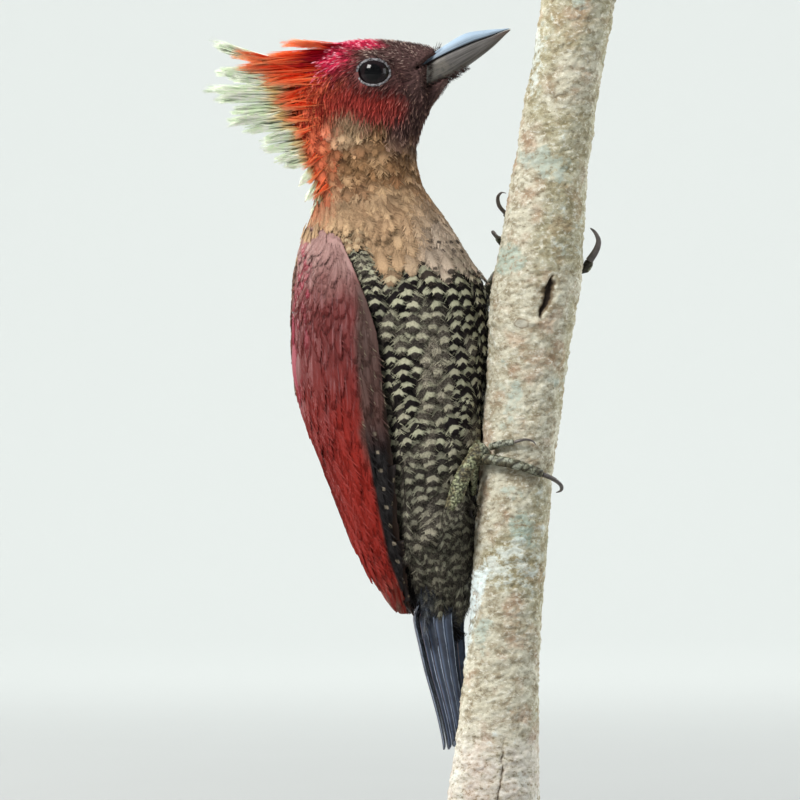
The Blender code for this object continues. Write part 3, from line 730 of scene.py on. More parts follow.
@dataclass(frozen=True)
class Vane:
    """A feather of length 1 and width 1 that lies along +Y: a thin vane with barbs at its rim."""

    name: str
    barbs: int
    core: float = 0.8
    sweep: float = 0.24
    cup: float = 0.10
    bow: float = 0.06
    fullness: float = 0.62
    gather: float = 0.0
    barb_width: float = 1.2
    start: float = 0.02
    rough: float = 0.05
    ragged: float = 0.05
    seed: int = 1
    core_rows: int = 6
    core_columns: int = 4

    def half_width(self, share: float) -> float:
        """The outline: widest at the fullness, round at the tip."""
        if share < self.fullness:
            return 0.5 * blend(0.35, 1.0, smooth_step(0.0, self.fullness, share))
        past = min((share - self.fullness) / (1.0 - self.fullness), 1.0)
        return 0.5 * sqrt(max(1.0 - past * past, 0.0)) * (1.0 - self.gather * past)

    def height(self, across: float, along: float) -> float:
        """How high the feather stands: cupped across and bowed along."""
        return -self.cup * (2.0 * across) ** 2 * 0.5 - self.bow * along * along

    def build(self) -> Object:
        """Make the pattern object, with the place on the vane stored at each vertex."""
        draw = random.Random(self.seed)
        points: list[Vector] = []
        faces: list[tuple[int, ...]] = []
        if self.core > 0.0:
            self._core(points, faces)
        smooth = len(faces)
        gap = (1.0 - self.start) / self.barbs
        for side in (-1.0, 1.0):
            for index in range(self.barbs):
                low = self.start + gap * (index + draw.uniform(-0.2, 0.2))
                high = min(low + self.sweep * draw.uniform(0.85, 1.15), 1.0 - 0.02 * draw.random())
                worn = draw.uniform(1.0 - 1.4 * self.ragged, 1.0 + self.ragged)
                tip = Vector((side * self.half_width(high) * worn, high))
                self._barb(points, faces, Vector((0.0, low)).lerp(tip, self.core * 0.8), tip, gap, draw)
        self._barb(points, faces, Vector((0.0, 0.0)), Vector((0.0, 0.98)), 0.04, draw)
        mesh = bpy.data.meshes.new(self.name)
        mesh.from_pydata(points, [], faces)
        outwards(mesh)
        mesh.shade_flat()
        mesh.polygons.foreach_set("use_smooth", [index < smooth for index in range(len(faces))])
        put_vectors(mesh, "vane", [(2.0 * point.x, point.y, 0.0) for point in points])
        return bpy.data.objects.new(self.name, mesh)

    def _core(self, points: list[Vector], faces: list[tuple[int, ...]]) -> None:
        """Add the closed vane that the barbs fringe."""
        rows, columns = self.core_rows, self.core_columns
        count = columns + 1
        for under in (0.0, 0.012):
            for row in range(rows + 1):
                along = blend(0.0, 0.955, row / rows)
                half = self.half_width(along) * self.core
                for column in range(count):
                    across = 2.0 * column / columns - 1.0
                    x = half * across
                    y = along - 0.03 * across * across
                    points.append(Vector((x, y, self.height(x, y) - under)))
        lower = (rows + 1) * count
        for row in range(rows):
            for column in range(columns):
                near = row * count + column
                square = (near, near + 1, near + count + 1, near + count)
                faces.append(square)
                faces.append(tuple(lower + index for index in reversed(square)))
        rim = [column for column in range(count)]
        rim += [row * count + columns for row in range(1, rows + 1)]
        rim += [rows * count + column for column in reversed(range(columns))]
        rim += [row * count for row in reversed(range(1, rows))]
        for near, far in zip(rim, rim[1:] + rim[:1]):
            faces.append((far, near, lower + near, lower + far))

    def _barb(
        self, points: list[Vector], faces: list[tuple[int, ...]], start: Vector, tip: Vector, gap: float,
        draw: random.Random,
    ) -> None:
        """Add one closed, pointed barb between two places on the vane."""
        width = gap * self.barb_width
        lift = self.rough * draw.uniform(-0.5, 0.5) * tip.length
        first = len(points)
        way = (tip - start).normalized()
        aside = Vector((-way.y, way.x)) * 0.5 * width
        base = self.height(start.x, start.y) + 0.3 * lift
        for corner, rise in ((-1.0, -0.1), (1.0, -0.1), (0.0, 0.35)):
            flat = start + aside * corner
            points.append(Vector((flat.x, flat.y, base + rise * width)))
        points.append(Vector((tip.x, tip.y, self.height(tip.x, tip.y) + lift)))
        faces += [(first, first + 1, first + 2)]
        faces += [(first + near, first + far, first + 3) for near, far in ((1, 0), (2, 1), (0, 2))]


@dataclass
class Root:
    """Where one feather grows, how it lies and how large it is."""

    spot: Spot
    length: float
    width: float
    lift: float
    yaw: float
    chance: float


def grown(
    draw: random.Random, spot: Spot, size: tuple[float, float], lifts: tuple[float, float], stray: float,
    shift: tuple[float, float] = (0.0, 0.0),
) -> Root:
    """One feather whose lift, turn and chance are drawn.

    Args:
        draw: Where the chances come from.
        spot: Where it grows.
        size: Its length and width, in metres.
        lifts: Its least and greatest lift, in degrees.
        stray: How far its turn strays, in degrees.
        shift: What is added to the lift and the turn, in degrees.

    Returns:
        The feather's root.
    """
    lift = radians(draw.uniform(*lifts) + shift[0])
    yaw = radians(draw.gauss(0.0, stray) + shift[1])
    return Root(spot, *size, lift, yaw, draw.random())


class NodeGroup:
    """A Geometry Nodes tree that is run on meshes."""

    def __init__(self, name: str, inputs: dict[str, str]) -> None:
        """Make the tree with its inputs, by name and kind, and pull them in."""
        self.group = bpy.data.node_groups.new(name, "GeometryNodeTree")
        face = self.group.interface
        for label, kind in {"Geometry": "Geometry", **inputs}.items():
            face.new_socket(label, in_out="INPUT", socket_type=f"NodeSocket{kind}")
        face.new_socket("Geometry", in_out="OUTPUT", socket_type="NodeSocketGeometry")
        self.tree = Tree(self.group)
        start = self.tree.node("NodeGroupInput")
        self.pulled = {label: Value(self.tree, start.outputs[label]) for label in ("Geometry", *inputs)}

    def step(self, kind: str, inputs: dict[str | int, Any], settings: dict[str, Any] | None = None) -> Value:
        """A node's first output."""
        return Value(self.tree, self.tree.node(kind, settings, inputs).outputs[0])

    def run(self, mesh: Mesh, name: str, given: dict[str, Any]) -> Mesh:
        """The mesh that the tree makes of a mesh, with the inputs that are given."""
        holder = holder_of(mesh, f"{name}_work")
        step = holder.modifiers.new("nodes", "NODES")
        step.node_group = self.group
        for item in self.group.interface.items_tree:
            if item.name in given:
                step[item.identifier] = given[item.name]
        return evaluated(holder, name)


class Plumes(NodeGroup):
    """Lays feathers on their roots with Geometry Nodes."""

    def __init__(self) -> None:
        """Points become instances turned by their normal and flow, then real meshes."""
        kinds = {"Feathers": "Collection", "Finish": "Material", "Patch": "Float", "Ruffle": "Float"}
        super().__init__("lay_feathers", kinds)
        tree, step, pulled = self.tree, self.step, self.pulled
        vector = "FunctionNodeAlignRotationToVector"
        upright = step(vector, {"Vector": self._named("outward")}, {"axis": "Z"})
        settings = {"axis": "Y", "pivot_axis": "Z"}
        laid = step(vector, {"Rotation": upright, "Vector": self._named("flow")}, settings)
        turned = step("FunctionNodeEulerToRotation", {0: self._named("tilt")})
        rotation = {"Rotation": laid, "Rotate By": turned}
        inputs = {
            "Points": step("GeometryNodeMeshToPoints", {"Mesh": pulled["Geometry"]}),
            "Instance": step("GeometryNodeCollectionInfo", {
                "Collection": pulled["Feathers"], "Separate Children": True, "Reset Children": True,
            }),
            "Pick Instance": True,
            "Rotation": step("FunctionNodeRotateRotation", rotation, {"rotation_space": "LOCAL"}),
            "Scale": self._named("size"),
        }
        place = tree.out(tree.node("GeometryNodeInputPosition"), "Position")
        made = step("GeometryNodeInstanceOnPoints", inputs)
        made = self._store(made, "root", place, "FLOAT_VECTOR", "INSTANCE")
        made = step("GeometryNodeRealizeInstances", {"Geometry": made})
        stir = tree.node("ShaderNodeTexNoise", None, {"Vector": place, "Scale": 420.0, "Detail": 1.0})
        stray = tree.vector("SUBTRACT", tree.out(stir, "Color"), (0.5, 0.5, 0.5))
        stray = tree.vector("SCALE", stray, pulled["Ruffle"])
        made = step("GeometryNodeSetPosition", {"Geometry": made, "Offset": stray})
        across, along, _ = tree.split(self._named("vane"))
        patch = tree.join((across * 0.5) * pulled["Patch"], (along - 0.5) * pulled["Patch"])
        spot = tree.vector("ADD", self._named("map"), patch)
        made = self._store(made, "OFBake", spot, "FLOAT2", "CORNER")
        for name in ("outward", "flow", "tilt", "size", "map"):
            made = step("GeometryNodeRemoveAttribute", {"Geometry": made, "Name": name})
        made = step("GeometryNodeSetMaterial", {"Geometry": made, "Material": pulled["Finish"]})
        tree.node("NodeGroupOutput", None, {0: made})

    def _named(self, name: str) -> Value:
        """A stored vector."""
        settings = {"data_type": "FLOAT_VECTOR"}
        made = self.tree.node("GeometryNodeInputNamedAttribute", settings, {"Name": name})
        return self.tree.out(made, "Attribute")

    def _store(self, geometry: Value, name: str, value: Value, kind: str, domain: str) -> Value:
        """Store an attribute."""
        inputs = {"Geometry": geometry, "Name": name, "Value": value}
        return self.step("GeometryNodeStoreNamedAttribute", inputs, {"data_type": kind, "domain": domain})

    def lay(
        self, name: str, roots: Sequence[Root], vanes: Sequence[Vane], finish: Material,
        stretch: tuple[float, float], ruffle: float = 0.0,
    ) -> Mesh:
        """Lay feathers.

        Args:
            name: The mesh's name.
            roots: Where they grow.
            vanes: The patterns, shared out among the roots.
            finish: Their material.
            stretch: The first and last station of the piece's map.
            ruffle: How far points stray, in metres.

        Returns:
            The plain mesh, with its map.
        """
        mesh = bpy.data.meshes.new(name)
        mesh.from_pydata([root.spot.point for root in roots], [], [])
        rows = []
        for root in roots:
            spot = root.spot
            columns = (
                spot.outward, spot.flow, (root.lift, 0.0, root.yaw),
                (root.width, root.length, 0.5 * (root.width + root.length)),
                (spot.place, spot.angle, root.chance), (*unwrap(spot.place, spot.angle, *stretch), 0.0),
            )
            rows.append(columns)
        for label, column in zip(("outward", "flow", "tilt", "size", "site", "map"), zip(*rows)):
            put_vectors(mesh, label, column)
        patterns = bpy.data.collections.new(f"{name}_patterns")
        for vane in vanes:
            patterns.objects.link(vane.build())
        given = {"Feathers": patterns, "Finish": finish, "Patch": PATCH, "Ruffle": ruffle}
        made = self.run(mesh, name, given)
        for pattern in list(patterns.objects):
            bpy.data.objects.remove(pattern)
        bpy.data.collections.remove(patterns)
        return made


class Scatter(NodeGroup):
    """Spreads points evenly over a part of the skin with Geometry Nodes."""

    def __init__(self) -> None:
        """Build the tree once."""
        super().__init__("scatter_roots", {"Spacing": "Float", "Seed": "Int"})
        spacing = self.pulled["Spacing"]
        mask = self.tree.node("GeometryNodeInputNamedAttribute", {"data_type": "FLOAT"}, {"Name": "mask"})
        inputs = {
            "Mesh": self.pulled["Geometry"], "Seed": self.pulled["Seed"], "Distance Min": spacing,
            "Density Max": 2.0 / (spacing * spacing), "Density Factor": self.tree.out(mask, "Attribute"),
        }
        made = self.step("GeometryNodeDistributePointsOnFaces", inputs, {"distribute_method": "POISSON"})
        made = self.step("GeometryNodePointsToVertices", {"Points": made})
        self.tree.node("NodeGroupOutput", None, {0: made})

    def points(self, skin: Skin, keep: Callable[[Spot], bool], spacing: float, seed: int) -> list[Vector]:
        """The points on the part of the skin whose spots are kept, a spacing apart."""
        mesh = skin.mesh.copy()
        layer = mesh.attributes.new("mask", "FLOAT", "POINT")
        marks = [float(keep(skin.charts.near(vertex.co))) for vertex in mesh.vertices]
        layer.data.foreach_set("value", marks)
        made = self.run(mesh, "scattered", {"Spacing": spacing, "Seed": seed})
        points = [vertex.co.copy() for vertex in made.vertices]
        bpy.data.meshes.remove(made)
        return points


@dataclass
class Rows:
    """A stretch of coat between two angles, whose feathers grow in offset rows, as tiles lie."""

    start: float
    end: float
    low: float
    high: float
    columns: int
    row_gap: float
    length: float
    width: float
    stagger: float = 0.14

    def roots(self, surface: Surface, draw: random.Random) -> list[Root]:
        """The roots of the stretch, on a surface."""
        made = []
        low, high = radians(self.low), radians(self.high)
        middle = 0.5 * (low + high)
        place = self.start
        row = 0
        while place < self.end:
            for column in range(self.columns):
                shift = column + 0.25 + 0.5 * (row % 2) + draw.uniform(-self.stagger, self.stagger)
                angle = blend(low, high, shift / self.columns)
                here = place + draw.uniform(-0.03, 0.03)
                spot = surface.any_spot(here, angle)
                if spot:
                    made.append(self.root(spot, draw))
            step = surface.stance.point(place + 0.1, middle) - surface.stance.point(place, middle)
            place += 0.1 * self.row_gap / step.length
            row += 1
        return made

    def root(self, spot: Spot, draw: random.Random) -> Root:
        """One feather of the stretch."""
        size = draw.uniform(0.88, 1.1)
        return grown(draw, spot, (self.length * size, self.width * size), (5.0, 11.0), 8.0)


BARRED = (
    Vane("barred_vane_a", 21, core=0.62, ragged=0.2, rough=0.12, seed=11),
    Vane("barred_vane_b", 20, core=0.55, sweep=0.3, ragged=0.25, rough=0.16, seed=12),
    Vane("barred_vane_c", 21, core=0.66, fullness=0.66, ragged=0.2, rough=0.12, seed=13),
)
SCALE_LIKE = (
    Vane("neck_vane_a", 16, core=0.5, sweep=0.3, cup=0.03, fullness=0.68, ragged=0.25, rough=0.1, seed=21),
    Vane("neck_vane_b", 15, core=0.42, sweep=0.36, cup=0.02, fullness=0.72, ragged=0.3, rough=0.14, seed=22),
    Vane("neck_vane_c", 16, core=0.52, sweep=0.32, cup=0.04, fullness=0.62, ragged=0.22, rough=0.1, seed=23),
)
TUFT = (
    Vane("face_vane_a", 3, 0.0, 0.6, fullness=0.5, gather=0.5, barb_width=0.5, rough=0.5, seed=31),
    Vane("face_vane_b", 2, 0.0, 0.75, fullness=0.5, gather=0.6, barb_width=0.4, rough=0.6, seed=32),
    Vane("face_vane_c", 3, 0.0, 0.7, fullness=0.45, gather=0.7, barb_width=0.45, rough=0.5, seed=33),
)
FLUFF = (
    Vane("vent_vane_a", 22, 0.3, 0.45, gather=0.2, barb_width=0.8, rough=0.4, cup=0.2, ragged=0.25, seed=41),
    Vane("vent_vane_b", 20, 0.3, 0.5, gather=0.3, barb_width=0.8, rough=0.5, cup=0.2, ragged=0.3, seed=42),
)


@dataclass
class Coat:
    """The feathers of the body, from the face to the undertail.

    The bare ring round an eye reaches bare_wide behind and ahead of its middle, and
    bare_tall under and over it.
    """

    skin: Skin
    plumes: Plumes
    scatter: Scatter
    draw: random.Random = field(default_factory=lambda: random.Random(5))
    hollow: tuple[float, float, float] = (13.5, 15.0, 191.0)
    bare_wide: tuple[float, float] = (4.8, 5.2)
    bare_tall: tuple[float, float] = (3.95, 4.05)
    skirt_feathers: int = 230
    skirt_reach: float = 2.3
    bristles: int = 330
    heel_feathers: int = 44

    def scattered(
        self, start: float, end: float, spacing: float, seed: int,
        size: Callable[[Spot], tuple[float, float, float]],
    ) -> list[Root]:
        """Roots spread evenly over a stretch.

        Args:
            start: The first station.
            end: The last station.
            spacing: The least distance between roots.
            seed: The seed of the scatter.
            size: The length, width and lift, in degrees, of a feather at a spot.

        Returns:
            The roots.
        """
        made = []
        for spot in self._spots(lambda spot: start <= spot.place <= end, spacing, seed):
            if self._bare(spot.point):
                continue
            length, width, lift = size(spot)
            grow = self.draw.uniform(0.85, 1.15)
            tilt = radians(lift * self.draw.uniform(0.7, 1.3))
            yaw = radians(self.draw.gauss(0.0, 9.0))
            made.append(Root(spot, length * grow * MM, width * grow * MM, tilt, yaw, self.draw.random()))
        return made

    def _spots(self, keep: Callable[[Spot], bool], spacing: float, seed: int) -> list[Spot]:
        """Spots spread evenly over the part of the skin that is kept."""
        made = []
        for point in self.scatter.points(self.skin, keep, spacing, seed):
            near = self.skin.charts.near(point)
            spot = self.skin.surface.any_spot(near.place, near.angle)
            if spot:
                made.append(spot._replace(point=point))
        return made

    def _behind_thigh(self) -> list[Root]:
        """Feathers for the hollow between the far thigh and the belly, which the rows step over."""
        made = []
        for spot in self._spots(lambda _: True, 2.4 * MM, 9):
            gap = spot.point - Vector(self.hollow) * MM
            if max(abs(gap.x) / 8.0, abs(gap.z) / 11.0) <= MM and gap.y >= -12.0 * MM:
                made.append(grown(self.draw, spot, (7.4 * MM, 5.6 * MM), (5.0, 10.0), 8.0))
        return made

    def _bare(self, point: Vector) -> bool:
        """Whether a point is on the ring round an eye or under the bill's horn."""
        for label, _ in SIDES:
            away = point - centre_of(f"eye_{label}")
            wide, tall = self.bare_wide[away.x > 0.0], self.bare_tall[away.z > 0.0]
            if hypot(away.x / wide, away.z / tall) < MM and abs(away.y) < 6.0 * MM:
                return True
        along, up, _ = self.skin.beak.read(point)
        return along > -8.0 and self.skin.beak.past_feathers(along, up) > 0.2 and up > -3.6

    def build(self, finish: Material) -> None:
        """Lay every stretch of the coat."""
        for name, low, high in (("right", -4.0, 102.0), ("left", -102.0, -4.0)):
            belly = Rows(1.3, 6.8, low, high, columns=9, row_gap=3.5 * MM, length=8.8 * MM, width=6.6 * MM)
            roots = belly.roots(self.skin.surface, self.draw)
            if name == "left":
                roots += self._behind_thigh()
            self._hand_over(f"coat_breast_{name}", roots, BARRED, finish, (1.0, 8.0))
        back = Rows(1.2, 8.9, 122.0, 238.0, columns=9, row_gap=4.0 * MM, length=9.0 * MM, width=7.0 * MM)
        roots = back.roots(self.skin.surface, self.draw)
        self._hand_over("coat_back", roots, SCALE_LIKE, finish, (1.0, 9.0))
        roots = self.scattered(6.45, 11.8, 1.93 * MM, 3, self._neck_size)
        self._hand_over("coat_neck", roots, SCALE_LIKE, finish, (7.0, 12.0))
        roots = self.scattered(11.3, 18.9, 0.66 * MM, 4, self._face_size)
        roots += self._bristles()
        self._hand_over("coat_face", roots, TUFT, finish, (11.0, LAST_STATION))
        roots = self.scattered(0.0, 2.2, 1.9 * MM, 6, self._vent_size)
        roots += self._heel_fluff()
        roots += self._skirt()
        self._hand_over("coat_vent", roots, FLUFF, finish, (0.0, 2.0))

    @staticmethod
    def _face_size(spot: Spot) -> tuple[float, float, float]:
        """Face feathers are shortest and stiffest by the bill."""
        near_bill = smooth_step(13.5, 18.0, spot.place)
        return blend(3.2, 1.3, near_bill), blend(1.2, 0.7, near_bill), blend(13.0, 26.0, near_bill)

    @staticmethod
    def _neck_size(spot: Spot) -> tuple[float, float, float]:
        """Breast feathers are long and lie flat; the neck's stand out a little."""
        upper = smooth_step(7.0, 10.0, spot.place)
        return blend(6.8, 5.6, upper), blend(5.2, 4.7, upper), blend(3.0, 6.5, upper)

    @staticmethod
    def _vent_size(spot: Spot) -> tuple[float, float, float]:
        """Vent feathers are longest where they lie over the tail."""
        last = smooth_step(0.9, 0.1, spot.place)
        return blend(7.0, 11.0, last), blend(4.0, 4.6, last), blend(13.0, 5.0, last)

    def _skirt(self) -> list[Root]:
        """Loose feathers that hang over the root of the tail."""
        made = []
        for _ in range(self.skirt_feathers):
            angle = self.draw.uniform(-self.skirt_reach, self.skirt_reach)
            spot = self.skin.surface.draped(self.draw.uniform(0.05, 1.1), angle)
            if spot:
                size = self.draw.uniform(0.6, 1.1) * MM * blend(1.0, 0.8, abs(angle) / self.skirt_reach)
                spot = spot._replace(point=spot.point + spot.outward * self.draw.uniform(0.2, 2.4) * MM)
                made.append(grown(self.draw, spot, (10.5 * size, 5.2 * size), (-2.0, 5.0), 12.0))
        return made

    def _bristles(self) -> list[Root]:
        """The dark bristles under the lower mandible and over the bill's root."""
        beak = self.skin.beak
        ahead, upward, right = beak.axes()
        made = []
        for index in range(self.bristles):
            under = index % 2 > 0
            aside = self.draw.uniform(-1.0, 1.0)
            if under:
                along = self.draw.uniform(-4.0, 6.0)
                up = -3.75 + 0.5 * max(along, 0.0) * 0.2 + 1.6 * abs(aside) ** 2
                point = beak.point(along, up, aside * 3.3)
                outward, flow = -upward, (ahead * 0.85 - upward * 0.42 + right * aside * 0.2).normalized()
            else:
                up = self.draw.uniform(-3.4, 5.4)
                wide = 5.0 * beak.fullness(up) - 0.5 * max(up - beak.gape_up, 0.0)
                along = self.draw.uniform(-1.1, -0.1) - beak.past_feathers(0.0, up)
                point = beak.point(along, up, copysign(wide, aside))
                outward, flow = right * copysign(1.0, aside), (ahead + upward * 0.1 * up).normalized()
            outward = (outward - flow * outward.dot(flow)).normalized()
            place = 18.6 if under else 18.2
            spot = Spot(point, outward, flow, place, 0.3 * aside if under else copysign(2.0, aside))
            size = self.draw.uniform(0.8, 1.2) * MM
            yaw = radians(self.draw.gauss(0.0, 14.0))
            made.append(Root(spot, 2.6 * size, 0.5 * size, radians(10.0), yaw, 0.1 * self.draw.random()))
        return made

    def _heel_fluff(self) -> list[Root]:
        """Loose feathers of the leg that lie over the lower end of each shank."""
        made = []
        for foot, side in ((RIGHT_FOOT, 1.0), (LEFT_FOOT, -1.0)):
            middle = Vector(foot.shank[0]) * MM
            for _ in range(self.heel_feathers):
                turn = self.draw.uniform(0.0, tau)
                outward = Vector((0.6 * cos(turn), sin(turn), 0.25 * cos(turn))).normalized()
                shift = Vector((-0.7, 0.0, -2.4 + self.draw.uniform(-2.0, 2.0)))
                point = middle + outward * 2.6 * MM + shift * MM
                flow = (Vector((0.32, -0.1 * side, 0.95)) + outward * 0.25).normalized()
                outward = (outward - flow * outward.dot(flow)).normalized()
                spot = Spot(point, outward, flow, 1.6, 0.5 * side)
                size = self.draw.uniform(0.8, 1.2) * MM
                made.append(Root(spot, 5.4 * size, 3.4 * size, radians(3.0), 0.0, self.draw.random()))
        return made

    def _hand_over(
        self, name: str, roots: Sequence[Root], vanes: Sequence[Vane], finish: Material,
        stretch: tuple[float, float],
    ) -> None:
        """Lay one stretch and hand its piece to the frame."""
        mesh = self.plumes.lay(name, roots, vanes, finish, stretch, 0.25 * MM)
        LOG.info("%s: %d feathers", name, len(roots))
        piece(mesh, name, None)


class Plumage:
    """The colours of the body's feathers and of the skin under them, by place."""

    PALE = (168, 167, 142)
    DARK = (27, 22, 23)
    DULL_PALE = (138, 138, 120)
    DULL_DARK = (30, 28, 28)
    MESSY = (152, 144, 128)
    BUFF = (148, 112, 78)
    LOW_BUFF = (178, 148, 116)
    RUST = (164, 108, 74)
    PINK_BUFF = (186, 168, 150)
    ORANGE_RED = (230, 118, 82)
    CHEEK = (172, 64, 56)
    MAROON = (132, 66, 64)
    UMBER = (90, 67, 65)
    CRIMSON = (240, 54, 98)
    TAN = (190, 168, 156)
    OLIVE = (186, 160, 128)
    MANTLE = (96, 66, 58)
    MANTLE_EDGE = (190, 158, 136)

    def build(self) -> Material:
        """Make the material."""
        paint = Paint("body_plumage")
        self.paint = paint
        root = paint.attribute("root")
        metres = paint.split(root)
        self.x, self.z = metres[0] * PER_METRE, metres[2] * PER_METRE
        _, self.angle, self.chance = paint.parts("site")
        self.across, self.along, _ = paint.parts("vane")
        self.wobble = paint.noise(root, 260.0, 2.0) - 0.5
        self.fine = paint.noise(root, 900.0, 1.0)
        self.grain = paint.grain(2200.0, 2.0)
        self._trunk(root)
        self._neck(root)
        self._head()
        barbs = ((self.along * 34.0 - self.across.size() * 5.0) * tau).sine() * 0.05
        above = self._border(self.z, 8.0, 232.0, 258.0)
        spread = (self.chance - 0.5) * (0.3 + 0.6 * above)
        soft = 0.25 * self.z.step(214.0, 222.0) * self.z.step(246.0, 236.0)
        rise = (0.48 - soft) * self.along.step(0.1, 0.8)
        shade = 0.54 + 0.7 * soft + rise + 0.6 * (self.grain - 0.5) + spread + barbs
        paint.shade(shade)
        return paint.finish(0.8, 0.12, paint.bump(self.grain + barbs * 4.0, 0.3, 0.0002))

    def _border(self, reach: Value, wander: float, low: float, high: float) -> Value:
        """A smooth change along X or Z whose place wanders."""
        return (reach + self.wobble * wander).step(low, high)

    def _patch(self, x: float, z: float, reach_x: float, reach_z: float, soft: float = 0.45) -> Value:
        """A soft-edged oval, seen from the side, as a share."""
        gap = span((self.x - x) / reach_x, (self.z - z) / reach_z) + self.wobble * 1.1
        return gap.step(1.0 + soft, 1.0 - soft)

    def _trunk(self, root: Value) -> None:
        """Barred below, reddish with pale edges above."""
        paint = self.paint
        rim = self.across.size()
        stray = paint.grain(420.0, 2.0) - 0.5
        phase = self.along * 2.45 - rim * 0.5 + self.wobble * 0.5 + self.chance * 0.16 + stray * 0.5 - 0.02
        bars = (phase * tau).sine().step(-0.55, 0.2)
        low = self._border(self.z, 14.0, 176.0, 146.0)
        pale = paint.mix(low, self.PALE, self.DULL_PALE)
        pale = paint.mix((self.fine + self.chance * 0.2).step(0.5, 0.75) * 0.45, pale, self.MESSY)
        dark = paint.mix(low, self.DARK, self.DULL_DARK)
        paint.colour = paint.mix(bars, pale, dark)
        messy = self._patch(0.5, 190.5, 3.8, 16.0, 0.6)
        faded = (paint.noise(root, 110.0, 2.0).step(0.5, 0.66) * 0.4).most(messy * 0.7).most(low * 0.25)
        blur = paint.mix(self.grain.step(0.35, 0.65), (92, 84, 74), self.MESSY)
        paint.over(faded, blur)
        deep = self._border(self.z, 16.0, 170.0, 130.0) * self._border(self.x, 8.0, -2.0, -13.0)
        paint.over(deep * 0.5, self.DARK)
        # painted shade: the coat behind the wing's front edge, under the wing and below the shoulder, is
        # darkened
        gap = self._border(self.x, 4.0, -12.6, -15.4) * self.z.step(213.0, 203.0)
        paint.over(gap * 0.75, self.DARK)
        tailward = (self.z + self.x * 0.56 + self.wobble * 5.0).step(119.5, 116.5)
        slate = paint.mix(self.grain.step(0.35, 0.65), (30, 34, 44), (82, 90, 104))
        paint.over(tailward * 0.8, slate)
        edge = (rim * 0.6 + self.along * 0.7).step(0.8, 1.05)
        mantle = paint.mix(edge * 0.75, self.MANTLE, self.MANTLE_EDGE)
        mantle = paint.mix((self.chance - 0.6).step(0.0, 0.3) * 0.6, mantle, (136, 40, 44))
        mantle = paint.mix(self.z.step(146.0, 130.0), mantle, self.DULL_DARK)
        paint.over(self.angle.size().step(1.95, 2.25), mantle)

    def _neck(self, root: Value) -> None:
        """Buff with rusty patches, and dark spots at the front of the breast."""
        paint = self.paint
        front = self._border(self.x, 6.0, -9.0, 1.0)
        lower = self._border(self.x, 4.0, -14.0, -20.0) * self.x.step(-33.0, -29.0) * 7.5
        upper = (self.z - lower + self.wobble * 9.0 + (self.chance - 0.5) * 3.0).step(215.5, 219.5)
        rusty = paint.noise(root, 110.0, 1.0).step(0.5, 0.68) * self.z.step(222.0, 246.0)
        buff = paint.mix(self.z.step(246.0, 236.0), self.BUFF, self.LOW_BUFF)
        buff = paint.mix(rusty * 0.5, buff, self.RUST)
        grizzled = (self.fine + self.chance * 0.3).step(0.6, 0.85) * 0.4
        buff = paint.mix(grizzled, buff, (196, 168, 132))
        buff = paint.mix(front * self.z.step(240.0, 226.0), buff, self.PINK_BUFF)
        spot = span(self.across, (self.along - 0.86) * 4.6) + self.wobble + (self.grain - 0.5) * 0.5
        marks = spot.step(0.55, 0.3) * self.z.step(240.0, 230.0) * self.chance.step(0.12, 0.3)
        buff = paint.mix(marks * front * 0.85, buff, self.DARK)
        streak = self._patch(-1.5, 230.5, 1.4, 6.5) * 0.6 * (self.chance + self.fine).step(0.7, 1.0)
        buff = paint.mix(streak * 0.8, buff, self.DARK)
        # painted shade between the overlapping feathers: each feather is darkened towards its root, most on
        # the upper neck
        gap = self.along.step(0.62, 0.3) * (0.08 + 0.5 * self.z.step(228.0, 246.0))
        buff = paint.mix(gap, buff, (80, 52, 32))
        paint.over(upper, buff)

    def _head(self) -> None:
        """Red crown and nape, dull red cheeks, and a dark brown face and chin."""
        paint = self.paint
        nape = self._border(self.x, 9.0, -26.0, -33.0) * self._border(self.z, 6.0, 229.0, 238.0)
        mottled = paint.mix((self.chance + self.fine * 0.6).step(0.5, 1.1), self.ORANGE_RED, (146, 74, 46))
        paint.over(nape * 0.9, mottled)
        tips = self.along.step(0.55, 0.95) * (self.chance + self.fine).step(0.75, 1.2)
        chin = self._border(self.z, 8.0, 247.0, 257.0) * self._border(self.x, 5.0, -16.0, -9.0)
        brown = paint.mix(tips * 0.7, self.UMBER, (160, 130, 114))
        paint.over(chin, brown)
        face = self._border(self.z, 5.0, 256.0, 260.5)
        reddish = paint.mix(tips * 0.75, self.MAROON, (192, 110, 108))
        speckled = paint.mix(self._border(self.x, 10.0, -4.0, -16.0), brown, reddish)
        paint.over(face, speckled)
        hind = self._border(self.x, 7.0, -22.0, -31.0) * self._border(self.z, 6.0, 250.0, 260.0)
        paint.over(hind, paint.mix(self.fine.step(0.4, 0.6), (150, 34, 24), self.ORANGE_RED))
        red_cheek = paint.mix(tips * 0.5, self.CHEEK, (206, 100, 86))
        paint.over(self._patch(-21.0, 264.2, 12.0, 5.2) * 0.92, red_cheek)
        paint.over(self._patch(-16.0, 267.6, 7.0, 1.8) * 0.6, (84, 36, 36))
        paint.over(self._patch(-24.8, 257.0, 6.0, 4.4) * 0.85, self.OLIVE)
        forehead = paint.mix(tips * 0.6, self.UMBER, self.TAN)
        paint.over(self._patch(-12.0, 280.0, 12.0, 4.6) * 0.95, forehead)
        paint.over(self._patch(-15.0, 274.0, 8.5, 6.4, 0.35) * 0.8, brown)
        streaks = self.chance.step(0.55, 0.75) * self.along.step(0.3, 0.6)
        streaks = streaks * self._patch(-11.0, 279.0, 13.0, 4.0)
        paint.over(streaks * 0.75, self.TAN)
        paint.over(self._patch(-28.2, 274.5, 4.0, 4.6) * 0.6, (104, 62, 46))
        glints = self.across.size().step(0.3, 0.1) * self.chance.step(0.6, 0.75) * self.along.step(0.35, 0.6)
        crown = paint.mix(glints * 0.9, self.CRIMSON, (246, 190, 208))
        crown = paint.mix(self.fine.step(0.58, 0.4) * 0.5, crown, (156, 24, 56))
